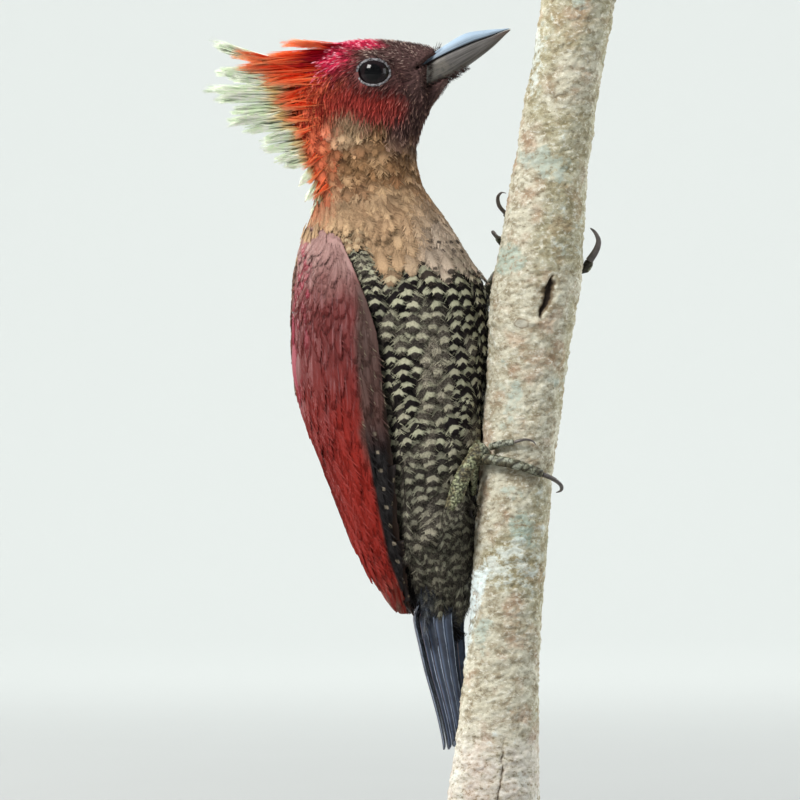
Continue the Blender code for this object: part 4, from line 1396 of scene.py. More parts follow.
        top = self._border(self.x, 6.0, -12.0, -18.0) * self._border(self.z, 1.5, 279.6, 281.2)
        region = self._patch(-34.0, 278.0, 10.0, 6.4).most(top * self.x.step(-42.0, -36.0))
        paint.over(region, crown)


class Layer(Enum):
    """The two layers of the crest: pale long feathers under shorter red ones."""

    WHITE = 0.75
    RED = 0.25


class Lock(NamedTuple):
    """One lock of the crest: root and tip in X and Z, tip in Y, feathers, width and layer."""

    root_x: float
    root_z: float
    tip_x: float
    tip_z: float
    tip_y: float
    feathers: int
    width: float
    layer: Layer


WHITE, RED = Layer
CREST = tuple(Lock(*row) for row in (
    (-44.0, 275.5, -67.4, 283.4, -1.0, 7, 1.8, WHITE),
    (-42.0, 273.0, -66.6, 274.2, 1.5, 22, 2.8, WHITE),
    (-42.0, 271.0, -62.0, 272.2, -1.0, 12, 2.8, WHITE),
    (-41.0, 267.5, -69.6, 268.7, 0.5, 7, 1.6, WHITE),
    (-41.0, 267.0, -66.2, 265.8, -1.5, 24, 3.0, WHITE),
    (-40.0, 263.5, -61.8, 262.0, 1.0, 12, 2.2, WHITE),
    (-39.0, 261.5, -62.6, 258.7, -1.0, 22, 2.8, WHITE),
    (-38.0, 259.0, -58.0, 256.0, 1.5, 12, 2.4, WHITE),
    (-36.0, 257.0, -52.4, 252.6, -1.0, 18, 2.6, WHITE),
    (-35.0, 253.0, -51.8, 250.0, 1.0, 14, 2.4, WHITE),
    (-35.0, 250.5, -47.8, 246.8, -1.0, 16, 2.6, WHITE),
    (-34.0, 248.0, -45.2, 245.2, 1.0, 12, 2.4, WHITE),
    (-33.0, 245.0, -40.2, 239.8, -0.5, 16, 2.4, WHITE),
    (-31.0, 241.0, -38.4, 235.0, 0.5, 16, 2.4, WHITE),
    (-29.5, 236.5, -36.6, 230.6, -0.5, 14, 2.2, WHITE),
    (-28.0, 281.0, -42.4, 283.2, 0.0, 10, 1.6, RED),
    (-31.0, 279.5, -51.5, 278.2, 2.5, 16, 2.2, RED),
    (-31.0, 277.5, -57.0, 275.8, -2.5, 18, 2.6, RED),
    (-33.0, 275.5, -60.5, 274.6, 1.5, 16, 2.4, RED),
    (-37.0, 273.5, -62.5, 280.4, -1.0, 9, 1.7, RED),
    (-40.0, 274.0, -66.6, 282.8, 0.5, 9, 1.4, WHITE),
    (-26.0, 281.5, -47.5, 282.8, -1.5, 8, 1.5, RED),
    (-32.0, 273.0, -57.8, 272.5, 3.0, 18, 2.6, RED),
    (-32.0, 271.0, -53.0, 269.5, -3.0, 18, 2.6, RED),
    (-32.0, 268.0, -49.5, 264.0, 3.0, 16, 2.4, RED),
    (-32.5, 265.0, -47.5, 262.5, -3.0, 14, 2.4, RED),
    (-32.5, 261.0, -45.5, 258.5, 3.0, 14, 2.4, RED),
    (-32.5, 257.5, -42.0, 254.0, -3.0, 14, 2.4, RED),
    (-32.0, 254.0, -40.5, 249.5, 3.0, 12, 2.4, RED),
    (-31.5, 250.0, -38.8, 244.5, -2.5, 12, 2.4, RED),
    (-30.5, 246.0, -37.4, 240.0, 2.5, 12, 2.4, RED),
    (-29.5, 241.5, -35.5, 235.0, -2.0, 12, 2.4, RED),
))
PLUME = (
    Vane("crest_vane_a", 10, 0.0, 0.7, 0.06, 0.08, 0.34, 0.8, 0.8, rough=0.3, ragged=0.4, seed=51),
    Vane("crest_vane_b", 9, 0.0, 0.75, 0.06, -0.08, 0.3, 0.9, 0.7, rough=0.4, ragged=0.45, seed=52),
    Vane("crest_vane_c", 10, 0.0, 0.66, 0.05, 0.14, 0.4, 0.7, 0.7, rough=0.3, ragged=0.4, seed=53),
)


@dataclass
class Crest:
    """The shaggy crest and nape: long loose feathers in locks."""

    skin: Skin
    plumes: Plumes
    root_spread: float = 2.2
    tip_spread: float = 1.5

    def build(self) -> None:
        """Lay the locks' feathers from the back of the head to their tips."""
        draw = random.Random(17)
        roots = []
        middle = self.skin.stance.head_y
        for lock in CREST:
            white = lock.layer is WHITE
            for _ in range(lock.feathers * (4 if white else 2)):
                side = draw.uniform(-1.0, 1.0)
                if not white:
                    side = copysign(abs(side) ** 0.6, side)
                reach = draw.triangular(0.4, 1.0, 0.84 if white else 0.9)
                stray = draw.uniform(-1.0, 1.0) * self.tip_spread * (1.3 - reach) * 1.7
                start = Vector((
                    lock.root_x + draw.uniform(-self.root_spread, self.root_spread) + abs(side) * 1.5,
                    middle + side * (3.0 if white else 8.0),
                    lock.root_z + draw.uniform(-self.root_spread, self.root_spread),
                ))
                tip = Vector((
                    blend(lock.root_x, lock.tip_x, reach),
                    middle + 0.5 * lock.tip_y + side * (1.8 if white else 4.5),
                    blend(lock.root_z, lock.tip_z, reach) + stray,
                ))
                chance = lock.layer.value + draw.uniform(-0.2, 0.2)
                width = lock.width * draw.uniform(0.7, 1.1) * (0.62 if white else 0.85)
                roots.append(self._root(start * MM, tip * MM, width, chance))
        mesh = self.plumes.lay("crest", roots, PLUME, self.finish(), (8.0, LAST_STATION), 0.6 * MM)
        piece(mesh, "crest_feathers", None, ("crest",))

    def _root(self, start: Vector, tip: Vector, width: float, chance: float) -> Root:
        """A feather that runs from a point on the skin to a tip."""
        near = self.skin.charts.near(start)
        point, _, _, _ = self.skin.surface.tree.find_nearest(start)
        run = tip - point
        flow = run.normalized()
        outward = Vector((0.0, -1.0 if point.y < self.skin.stance.head_y * MM else 1.0, 0.35))
        outward = (outward - flow * outward.dot(flow)).normalized()
        spot = Spot(point, outward, flow, near.place, near.angle)
        return Root(spot, run.length, width * MM, 0.0, 0.0, chance)

    @staticmethod
    def finish() -> Material:
        """Crimson at the crown, then orange red, over mint-white feathers."""
        paint = Paint("crest_plumage")
        z = paint.parts("root")[2] * PER_METRE
        chance = paint.parts("site")[2]
        along = paint.parts("vane")[1]
        streaks = paint.grain(500.0, 2.0)
        deep = (chance * 2.0 + streaks * 0.5).step(0.4, 0.9)
        paint.colour = paint.mix(deep, (234, 86, 46), (254, 156, 104))
        paint.over(along.step(0.5, 1.0) * 0.7, (255, 200, 156))
        crimson = (z + streaks * 4.0).step(275.0, 279.0) * along.step(0.6, 0.25)
        paint.over(crimson, (186, 24, 56))
        white = chance.step(0.48, 0.52) * (along + streaks * 0.12).step(0.12, 0.34)
        pale = paint.mix(streaks.step(0.3, 0.7), (238, 250, 226), (254, 255, 248))
        paint.over(white, pale)
        glow = chance.step(0.48, 0.52) * along.step(0.05, 0.25) * along.step(0.5, 0.28)
        paint.over(glow * 0.6, (246, 206, 130))
        shade = 0.84 + 0.2 * along.step(0.0, 0.4) + 0.16 * (streaks - 0.5)
        paint.shade(shade)
        return paint.finish(0.65, 0.2, paint.bump(streaks, 0.2, 0.0002))


WING_FRONT = (150.0, 119.0, 107.0, 96.0, 85.5, 85.0, 95.0, 108.0, 124.0)
WING_BACK = (173.0, 173.0, 174.0, 173.0, 170.0, 167.0, 163.0, 160.0, 156.0)


@dataclass(frozen=True)
class Quill:
    """A long feather of the folded wing: its stations and its place between the edges."""

    start: float
    end: float
    root_share: float
    tip_share: float
    width: float
    lift: float


@dataclass
class Wing:
    """One folded wing: its flesh, small coverts, red flight feathers and dark primaries."""

    LAST_QUILL = {"right": 0.2, "left": 0.88}
    QUILLS, PRIMARIES = 7, 4
    stance: Stance
    side: int
    plumes: Plumes
    sink: float = 0.54 * MM
    voxel: float = 0.6 * MM
    smoothing: int = 6
    crown_tries: int = 420
    edge_tries: int = 220

    def __post_init__(self) -> None:
        """Name the side and read the wing's outer surface."""
        self.label = "right" if self.side > 0 else "left"
        self.draw = random.Random(60 + self.side)
        self.node = f"wing_{self.label}"
        self.tips = f"primaries_{self.label}"
        self.base = self._sunk(self.node)
        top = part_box(self.node)[1].z
        for vertex in self.base.vertices:
            vertex.co.y += self.side * 2.2 * MM * smooth_step(top - 9.0 * MM, top, vertex.co.z)
        self.surface = Surface([self.base], self.stance)

    def _sunk(self, node: str) -> Mesh:
        """A smooth copy of the CAD wing that lies inside it."""
        mesh = softened([node], node, self.voxel, self.smoothing)
        moves = [vertex.normal.copy() for vertex in mesh.vertices]
        for vertex, normal in zip(mesh.vertices, moves):
            vertex.co -= normal * self.sink
        mesh.update()
        return mesh

    def _mark(self, mesh: Mesh) -> None:
        """Mark flesh of the wing as its feathers are marked."""
        mesh.shade_smooth()
        mark(mesh, [(4.0, 2.0 * self.side, 0.4)] * len(mesh.vertices), (0.0, 0.6, 0.0))

    def edges(self, place: float) -> tuple[float, float]:
        """The angles of the wing's front and back edges at a station."""
        return radians(spline(WING_FRONT, place)), radians(spline(WING_BACK, place))

    def rims(self, place: float) -> tuple[float, float] | None:
        """The angles between which the wing's flesh lies at a station."""
        turns = [radians(turn) for turn in range(60, 186, 2)]
        met = [turn for turn in turns if self.surface.hit(place, self.side * turn)]
        return (met[0], met[-1]) if len(met) > 3 else None

    def spot(self, place: float, share: float, step: float = 0.05) -> Spot | None:
        """The wing's surface at a station and a share of the way from front to back."""
        front, back = self.edges(place)
        return self.surface.spot(place, self.side * blend(front, back, share), step)

    def build(self, red: Material, dark: Material) -> None:
        """Dress the wing."""
        self._coverts(red)
        self._quills(red)
        self._mark(self.base)
        charts = Charts(self.surface)
        near = [charts.near(vertex.co) for vertex in self.base.vertices]
        put_map(self.base, lambda index: unwrap(near[index].place, near[index].angle, 0.0, 8.0))
        piece(self.base, f"wing_flesh_{self.label}", red, (self.node,))
        self._primaries(dark)

    def _coverts(self, red: Material) -> None:
        """The small feathers of the shoulder, in rows that lengthen towards the flight feathers."""
        roots = []
        place = 1.9
        row = 0
        while place < 8.4:
            upper = smooth_step(3.3, 6.5, place)
            rims = self.rims(place)
            columns = 9 + round(2 * upper)
            for column in range(columns if rims else 0):
                share = (column + 0.1 + 0.5 * (row % 2) + self.draw.uniform(-0.3, 0.3)) / columns
                share = max(share, 0.05)
                at, turn = place + self.draw.uniform(-0.1, 0.1), self.side * blend(*rims, share)
                spot = self.surface.spot(at, turn, 0.15) if place > 5.4 and share > 0.14 else None
                spot = spot or self.surface.draped(at, turn)
                if spot:
                    over = blend(0.9, 0.1, smooth_step(3.0, 4.8, place)) * MM
                    over += 0.35 * MM * smooth_step(5.4, 7.0, place)
                    spot = spot._replace(point=spot.point + spot.outward * over)
                    behind = smooth_step(0.7, 1.0, share)
                    length = blend(15.0, 6.5, upper) * self.draw.uniform(0.85, 1.15)
                    length = length * MM * (1.0 - 0.4 * behind)
                    width = blend(5.6, 4.6, upper) * MM
                    shift = (-2.0 * behind, 9.0 * behind * self.side)
                    roots.append(grown(self.draw, spot, (length, width), (0.6, 1.6), 4.0, shift))
            place += blend(0.2, 0.14, upper)
            row += 1
        vanes = (
            Vane("covert_vane_a", 18, 0.6, 0.3, 0.03, 0.02, 0.5, ragged=0.3, rough=0.02, seed=61),
            Vane("covert_vane_b", 18, 0.55, 0.34, 0.03, 0.02, 0.45, ragged=0.35, rough=0.02, seed=62),
        )
        mesh = self.plumes.lay(f"coverts_{self.label}", roots, vanes, red, (2.0, 8.0), 0.15 * MM)
        piece(mesh, f"coverts_{self.label}", None)

    def scapulars(self, skin: Skin) -> list[Root]:
        """The body feathers that fall over the wing's upper end and its back edge."""
        both = Surface([skin.mesh, self.base], self.stance)
        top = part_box(self.node)[1].z
        made = []
        for _ in range(self.crown_tries):
            made.append((self.draw.uniform(6.4, 9.2), radians(self.draw.uniform(70.0, 180.0)), True))
        for index in range(self.edge_tries):
            place = self.draw.uniform(3.4, 7.4)
            rims = self.rims(place)
            if rims and index % 2:
                made.append((place, rims[1] - radians(self.draw.uniform(-3.0, 7.0)), False))
            elif rims and place > 5.9 and index % 4:
                made.append((place, rims[0] + radians(self.draw.uniform(-14.0, -5.0)), False))
        roots = []
        for place, turn, crown in made:
            spot = both.draped(place, self.side * turn)
            edge = top - self.draw.uniform(0.5, 4.5) * MM
            if spot is None or (crown and not edge < spot.point.z < top + 6.0 * MM):
                continue
            spot = spot._replace(point=spot.point + spot.outward * (1.3 if crown else 0.7) * MM)
            size = self.draw.uniform(0.85, 1.15)
            roots.append(grown(self.draw, spot, (5.6 * MM * size, 4.2 * MM * size), (1.0, 5.0), 8.0))
        return roots

    def _quills(self, red: Material) -> None:
        """The long red feathers that lie side by side down the wing."""
        shape = Sheet()
        for index in range(self.QUILLS):
            share = (index + 0.5) / self.QUILLS
            foot = blend(self.LAST_QUILL[self.label], 1.5, share**1.5)
            start, tip_share = 5.4 - 0.5 * (1.0 - share), blend(0.3, 0.86, share)
            width, lift = blend(7.0, 8.5, share), 0.15 + 0.06 * index
            shape.quill(self, Quill(start, foot, share, tip_share, width, lift), index)
        mesh = shape.mesh(f"flight_feathers_{self.label}")
        piece(mesh, f"flight_feathers_{self.label}", red)

    def _primaries(self, dark: Material) -> None:
        """The blackish primaries along the wing's front edge."""
        mesh = self._sunk(self.tips)
        self.surface = Surface([mesh], self.stance)
        shape = Sheet()
        for index in range(self.PRIMARIES):
            start, end = 4.0 - 0.15 * index, blend(0.02, 1.1, index / self.PRIMARIES)
            shares = (-0.16 + 0.1 * index, 0.05 + 0.22 * index)
            shape.quill(self, Quill(start, end, *shares, 5.0, 0.3 + 0.18 * index), index)
        made = shape.mesh(f"primary_feathers_{self.label}")
        if len(made.vertices):
            piece(made, f"primary_feathers_{self.label}", dark)
        self._mark(mesh)
        piece(mesh, f"primary_base_{self.label}", dark, (self.tips,))


class Sheet:
    """Collects closed feather blades into one mesh, with their map."""

    LENGTHS, ACROSS = 64, 10

    def __init__(self) -> None:
        """Start empty."""
        self.points: list[Vector] = []
        self.faces: list[tuple[int, ...]] = []
        self.vanes: list[tuple[float, float, float]] = []
        self.roots: list[tuple[float, float, float]] = []
        self.sites: list[tuple[float, float, float]] = []
        self.spots: list[tuple[float, float]] = []

    def blade(
        self, rows: Sequence[Sequence[tuple[Vector, Vector]]], thickness: float,
        site: tuple[float, float, float], cell: int, ragged: float = 0.0,
    ) -> None:
        """Add one blade.

        Args:
            rows: Points with their outward directions, across the blade, along its length.
            thickness: The blade's thickness at its shaft.
            site: The station, angle and chance stored on it.
            cell: Its number, which gives it a strip of the map of its own.
            ragged: How far its edges are worn, as a share of its width.
        """
        first = len(self.points)
        count = self.ACROSS + 1
        draw = random.Random(cell + 7)
        for layer in (1.0, 0.0):
            for row, line in enumerate(rows):
                along = row / (len(rows) - 1)
                middle = line[self.ACROSS // 2][0]
                worn = [ragged * draw.random() ** 2 for _ in range(2)]
                for column, (point, outward) in enumerate(line):
                    across = 2.0 * column / self.ACROSS - 1.0
                    reach = 1.0 - worn[column * 2 // count] * abs(across) ** 5
                    shaft = exp(-((across / 0.10) ** 2)) * (1.0 - 0.6 * along)
                    rise = thickness * (0.25 + 0.5 * (1.0 - across * across) + 0.55 * shaft) * layer
                    self.points.append(middle.lerp(point, reach) + outward * rise)
                    self.vanes.append((across, along, 0.0))
                    self.roots.append(tuple(middle))
                    self.sites.append(site)
                    strip = cell % 8 + 0.5 + 0.4 * across
                    self.spots.append((strip / 8.0, (cell // 8 + 0.05 + 0.9 * along) / 2.0))
        under = first + len(rows) * count
        for row in range(len(rows) - 1):
            for column in range(self.ACROSS):
                corner = row * count + column
                square = (corner, corner + 1, corner + count + 1, corner + count)
                self.faces.append(tuple(first + index for index in square))
                self.faces.append(tuple(under + index for index in reversed(square)))
            for edge, way in ((0, 1), (self.ACROSS, -1)):
                near, far = row * count + edge, (row + 1) * count + edge
                side = (first + near, first + far, under + far, under + near)
                self.faces.append(side[::way])
        for end, way in ((0, -1), (len(rows) - 1, 1)):
            for column in range(self.ACROSS):
                near = end * count + column
                side = (first + near, first + near + 1, under + near + 1, under + near)
                self.faces.append(side[::-way])

    def quill(self, wing: Wing, quill: Quill, index: int) -> None:
        """Add a long feather that follows the wing's surface."""
        rows = []
        for row in range(self.LENGTHS + 1):
            along = row / self.LENGTHS
            place = blend(quill.start, quill.end, along)
            share = blend(quill.root_share, quill.tip_share, smooth_step(0.0, 1.0, along))
            spot = wing.spot(place, share)
            if spot is None:
                continue
            taper = sqrt(max(1.0 - max((along - 0.82) / 0.18, 0.0) ** 2.2, 0.0)) * 0.97 + 0.03
            grow = blend(0.3, 1.0, smooth_step(0.0, 0.2, along))
            reach = 0.5 * quill.width * MM * taper * grow * wing.side
            half = spot.flow.cross(spot.outward).normalized() * reach
            rise = quill.lift - 1.1 * smooth_step(0.16, 0.0, along)
            line = []
            for column in range(self.ACROSS + 1):
                across = 2.0 * column / self.ACROSS - 1.0
                cup = 0.10 * half.length * across * across
                line.append((spot.point + half * across + spot.outward * (rise * MM - cup), spot.outward))
            rows.append(line)
        if len(rows) > 3:
            site = (quill.end, wing.side * 2.0, wing.draw.random())
            self.blade(rows, 0.35 * MM, site, index, 0.03)

    def mesh(self, name: str) -> Mesh:
        """The finished mesh, with its faces turned outwards."""
        mesh = bpy.data.meshes.new(name)
        mesh.from_pydata(self.points, [], self.faces)
        put_vectors(mesh, "vane", self.vanes)
        put_vectors(mesh, "root", self.roots)
        put_vectors(mesh, "site", self.sites)
        put_map(mesh, lambda index: self.spots[index])
        outwards(mesh)
        mesh.shade_smooth()
        return mesh


def barb_bump(paint: Paint, across: Value, along: Value, rate: float, strength: float) -> Value:
    """Fine slanting barbs on a blade."""
    phase = (along * rate - across.size() * 5.0) * tau
    return paint.bump(phase.sine(), strength, 0.00015)


def red_wing() -> Material:
    """Mauve brown at the shoulder, maroon, then orange red, with a dark front edge below."""
    paint = Paint("red_wing")
    x, y, z = (part * PER_METRE for part in paint.split(paint.place()))
    # ahead runs along the trunk, which is turned by 15 degrees round its middle in Y
    ahead = x * 0.966 - (y - 11.5) * 0.259
    root = paint.attribute("root")
    wobble = paint.grain(120.0, 2.0) * 0.7 + paint.noise(root, 120.0, 1.0) * 0.3 - 0.5
    grain = paint.grain(1500.0, 3.0)
    streaks = paint.noise(paint.join(ahead * 1.2, z * 0.12), 1.0, 4.0)
    chance = paint.parts("site")[2]
    across, along, _ = paint.parts("vane")
    low = (z + wobble * 26.0).step(196.0, 160.0)
    paint.colour = paint.mix(low, (102, 36, 34), (122, 24, 16))
    glow = (ahead + wobble * 6.0).step(-26.0, -20.0) * (z + wobble * 20.0).step(176.0, 160.0)
    paint.over(glow * 0.5, (150, 30, 14))
    shoulder = (z + wobble * 22.0).step(200.0, 222.0)
    paint.over(shoulder * 0.9, (166, 132, 126))
    worn = z.step(124.0, 108.0) * (streaks + wobble * 0.4).step(0.4, 0.62)
    paint.over(worn * 0.9, (124, 104, 90))
    sheen = streaks.step(0.5, 0.7) * z.step(150.0, 190.0)
    paint.over(sheen * 0.45, (146, 108, 110))
    pink = (ahead + (z - 207.0).size() * 0.22 + wobble * 3.0).step(-26.5, -30.0) * chance.step(0.45, 0.75)
    paint.over(pink * 0.6, (150, 30, 60))
    front = (ahead + wobble * 4.0 + (z - 190.0) * 0.02).step(-16.0, -13.0) * z.step(150.0, 165.0)
    paint.over(front * 0.85, (72, 57, 51))
    tips = across.size().step(0.9, 1.0) * front
    paint.over(tips * 0.8, (150, 138, 116))
    slope = (z - 163.0).least(0.0) * 0.03 + (z - 196.0).least(0.0) * 0.09 + (z - 127.0).least(0.0) * 0.15
    edge_line = ahead + slope + wobble * 1.2
    black = edge_line.step(-15.8, -14.6) * z.step(174.0, 158.0)
    black = black.most(x.step(-7.0, -5.6) * z.step(128.0, 122.0))
    paint.over(black, (20, 16, 17))
    ticks = (z * 1.15 + grain).sine().step(0.7, 0.95) * (edge_line + 12.4).size().step(0.7, 0.3) * black
    paint.over(ticks * 0.7, (158, 146, 126))
    paint.over((edge_line + 15.6).size().step(0.5, 0.2) * black * 0.5, (122, 84, 66))
    shade = 0.88 + 0.08 * along.step(0.1, 0.7) + 0.5 * (grain - 0.5)
    shade = shade + 0.08 * (chance - 0.5) + 0.5 * (streaks - 0.5)
    paint.shade(shade)
    return paint.finish(0.6, 0.3, barb_bump(paint, across, along, 60.0, 0.2))


def dark_quill() -> Material:
    """Blackish brown flight feathers with small buff spots along their outer webs."""
    paint = Paint("dark_quill")
    across, along, _ = paint.parts("vane")
    chance = paint.parts("site")[2]
    grain = paint.grain(1800.0, 2.0)
    paint.colour = paint.mix(grain, (26, 20, 20), (48, 38, 36))
    spots = ((along * 7.0 + chance * 3.0) * tau).sine().step(0.75, 0.95) * across.size().step(0.6, 0.85)
    paint.over(spots * grain.step(0.3, 0.6) * 0.7, (150, 136, 112))
    shaft = across.size().step(0.09, 0.04)
    paint.over(shaft * 0.5, (92, 72, 62))
    return paint.finish(0.5, 0.25, barb_bump(paint, across, along, 90.0, 0.3))


@dataclass
class Tail:
    """The ten stiff tail feathers, which curve round one line."""

    lengths: tuple[float, ...] = (1.0, 0.98, 0.93, 0.84, 0.70)
    back_x: tuple[float, ...] = (-5.0, -3.4, -1.6, 0.6, 2.6, 4.0)
    base_z: float = 108.8
    tip_z: float = 69.7
    radii: tuple[float, float] = (12.5, 7.5)
    spacing: float = radians(17.5)
    layer: float = 0.95
    vane: float = radians(21.0)
    turn: float = radians(15.0)
    axis_y: float = 10.5

    def build(self) -> None:
        """Build both sides in one mesh each."""
        finish = self.finish()
        for label, side in SIDES:
            shape = Sheet()
            nodes = [f"tail_feather_{label}_{index}" for index in range(1, 6)]
            for index in range(len(nodes)):
                shape.blade(self._rows(side, index), 0.45 * MM, (0.0, 0.0, 0.2 * index), index, 0.07)
            piece(shape.mesh(f"tail_{label}"), f"tail_feathers_{label}", finish, nodes)

    def _rows(self, side: float, index: int) -> list[list[tuple[Vector, Vector]]]:
        """The lines across one feather, from its root to its tip."""
        full = self.base_z - self.tip_z
        middle = side * (0.45 + index) * self.spacing
        layer = self.layer * (index if index == 0 and side > 0 else index + 1)
        rows = []
        for row in range(Sheet.LENGTHS + 1):
            share = row / Sheet.LENGTHS
            height = self.base_z + 11.0 - (full * self.lengths[index] + 11.0) * share
            down = (self.base_z - height) / full
            radius = blend(*self.radii, down)
            back = spline(self.back_x, (len(self.back_x) - 1) * down)
            axis = Vector((back + radius, self.axis_y - 2.5 * down, height))
            point = sqrt(max(1.0 - max((share - 0.95) / 0.05, 0.0) ** 2, 0.0))
            spread = self.vane * (1.0 - 0.15 * share**3) * (0.25 + 0.75 * point)
            line = []
            for column in range(Sheet.ACROSS + 1):
                across = 2.0 * column / Sheet.ACROSS - 1.0
                angle = middle + across * spread
                way = Vector((-cos(angle), -sin(angle), 0.0))
                way.rotate(Matrix.Rotation(-self.turn, 3, "Z"))
                tuck = 0.5 * max(height - self.base_z - 0.5, 0.0)
                line.append(((axis + way * (radius - layer - 0.35 - tuck)) * MM, way))
            rows.append(line)
        return rows

    @staticmethod
    def finish() -> Material:
        """Slate with a sheen, pale shafts and thin pale worn edges."""
        paint = Paint("tail_slate")
        across, along, _ = paint.parts("vane")
        chance = paint.parts("site")[2]
        grain = paint.grain(900.0, 3.0)
        broad = paint.grain(160.0, 2.0)
        paint.colour = paint.mix(grain.step(0.3, 0.7), (36, 45, 64), (96, 110, 138))
        paint.over((broad + chance * 0.2).step(0.42, 0.7) * 0.6, (120, 136, 164))
        inner = (across + (grain - 0.5) * 0.3).step(0.0, 0.5).most(across.step(-0.6, -0.9))
        paint.over(inner * 0.85, (14, 19, 30))
        frayed = paint.grain(300.0, 3.0)
        rim = (across.size() + (frayed - 0.5) * 0.16).step(0.88, 0.97)
        rim = rim * (frayed + along * 0.2).step(0.36, 0.6)
        paint.over(rim * 0.75, (168, 182, 206))
        shaft = across.size().step(0.09, 0.04) * along.step(1.0, 0.6)
        paint.over(shaft * 0.8, (176, 158, 160))
        return paint.finish(0.5, 0.35, barb_bump(paint, across, along, 80.0, 0.4))


class BillStation(NamedTuple):
    """One section of the bill: culmen, cutting edge and keel heights, half width."""

    along: float
    culmen: float
    edge: float
    keel: float
    half_width: float


@dataclass
class Bill:
    """The chisel bill in two halves, with its ridges and a groove where they meet."""

    beak: BillFrame = BillFrame()
    stations: tuple[BillStation, ...] = tuple(BillStation(*row) for row in (
        (-9.0, 2.6, 2.7, -3.0, 6.0),
        (-4.0, 4.4, 2.7, -3.9, 5.5),
        (3.5, 5.3, 2.6, -3.9, 4.7),
        (11.5, 5.6, 2.0, -3.0, 3.4),
        (17.5, 3.6, 1.2, -1.9, 2.25),
        (22.0, 1.6, 0.7, -0.6, 1.2),
        (24.4, 0.55, 0.3, 0.0, 0.4),
    ))
    lengths: int = 90
    around: int = 36

    def half(self, upper: bool) -> Mesh:
        """One mandible: a ridged roof above or a round keel below."""
        rings = []
        vanes = []
        way = 1.0 if upper else -1.0
        reach = 1.0 if upper else 0.975
        for step in range(self.lengths + 1):
            share = (1.0 - (1.0 - step / self.lengths) ** 1.25) * reach
            along, culmen, edge, keel, half_width = spline_point(self.stations, share)
            middle = edge + way * 0.10
            rise = (culmen if upper else keel) - middle
            ring = []
            for corner in range(self.around + 1):
                angle = pi * corner / self.around
                cosine = cos(angle)
                out = copysign(abs(cosine) ** (0.86 if upper else 0.62), cosine)
                lift = max(sin(angle), 0.0) ** (1.1 if upper else 0.85)
                lip = 1.0 - 0.10 * exp(-((lift / 0.05) ** 2))
                ridge = 0.05 * exp(-(((lift - 0.55) / 0.10) ** 2)) * (1.0 - share) if upper else 0.0
                wave = 0.006 * noise.noise(Vector((along * 0.35, out * 4.0, lift * 4.0 + way)))
                scale = (0.985 + ridge + wave) * lip
                high = middle + rise * lift * (0.99 + wave)
                ring.append(self.beak.point(along, high, half_width * out * scale))
                vanes.append((out, share, lift))
            rings.append(ring)
        mesh = loft(rings, "bill")
        put_vectors(mesh, "vane", vanes)
        return mesh

    def build(self) -> None:
        """Make both halves."""
        for name, upper in (("bill_upper", True), ("bill_lower", False)):
            piece(self.half(upper), f"{name}_horn", self.finish(upper), (name,))

    @staticmethod
    def finish(upper: bool) -> Material:
        """Slate-blue horn with streaks along it, a painted highlight on the upper bill's top, painted shade
        at the edge and under the lower bill, and a pale worn tip.
        """
        paint = Paint("bill_upper" if upper else "bill_lower")
        out, share, lift = paint.parts("vane")
        streaks = paint.noise(paint.join(out * 7.0, share * 2.0, lift * 7.0), 3.0, 4.0)
        grain = paint.grain(1600.0, 3.0)
        blots = paint.grain(420.0, 4.0, 0.65)
        if upper:
            paint.colour = paint.mix(streaks.step(0.3, 0.7), (84, 98, 112), (126, 146, 164))
            # painted highlight along the top of the upper bill, and painted shade down its sides towards the
            # cutting edge
            paint.over(lift.step(0.25, 0.75) * 0.8, (168, 190, 210))
            paint.over(lift.step(0.22, 0.08) * 0.75, (46, 46, 50))
        else:
            paint.colour = paint.mix(streaks.step(0.3, 0.7), (66, 63, 62), (106, 102, 100))
            paint.over(share.step(0.40, 0.28) * blots.step(0.4, 0.6) * 0.5, (122, 116, 106))
            paint.over(share.step(0.6, 0.9) * 0.5, (92, 66, 56))
            # painted shade along the underside of the lower bill
            paint.over(lift.step(0.7, 1.0) * 0.6, (60, 52, 46))
        # painted shade: a dark line along the edges where the two halves meet
        paint.over(lift.step(0.07, 0.0) * 0.9, (14, 12, 13))
        paint.over(share.step(0.93, 0.985) * 0.85, (214, 212, 202))
        paint.over(blots.step(0.6, 0.72) * 0.35, (58, 56, 58))
        return paint.finish(0.34 + 0.25 * grain, normal=paint.bump(streaks + blots * 0.5, 0.3, 0.0002))


def ring_faces(rows: int, count: int) -> list[tuple[int, ...]]:
    """The faces between rings of equal counts."""
    faces: list[tuple[int, ...]] = []
    for first in range(0, (rows - 1) * count, count):
        for corner in range(count):
            after = (corner + 1) % count
            faces.append((first + corner, first + after, first + count + after, first + count + corner))
    return faces


def loft(rings: Sequence[Sequence[Vector]], name: str, closed: bool = True) -> Mesh:
    """A closed body through rings of equal counts.

    Args:
        rings: The rings' points.
        name: The mesh's name.
        closed: Whether the ends are capped.

    Returns:
        The mesh, with its faces outwards.
    """
    count = len(rings[0])
    points = [point for ring in rings for point in ring]
    faces = ring_faces(len(rings), count)
    if closed:
        faces.append(tuple(range(count)))
        faces.append(tuple(range(len(points) - count, len(points))))
    mesh = bpy.data.meshes.new(name)
    mesh.from_pydata(points, [], faces)
    outwards(mesh)
    mesh.shade_smooth()
    return mesh


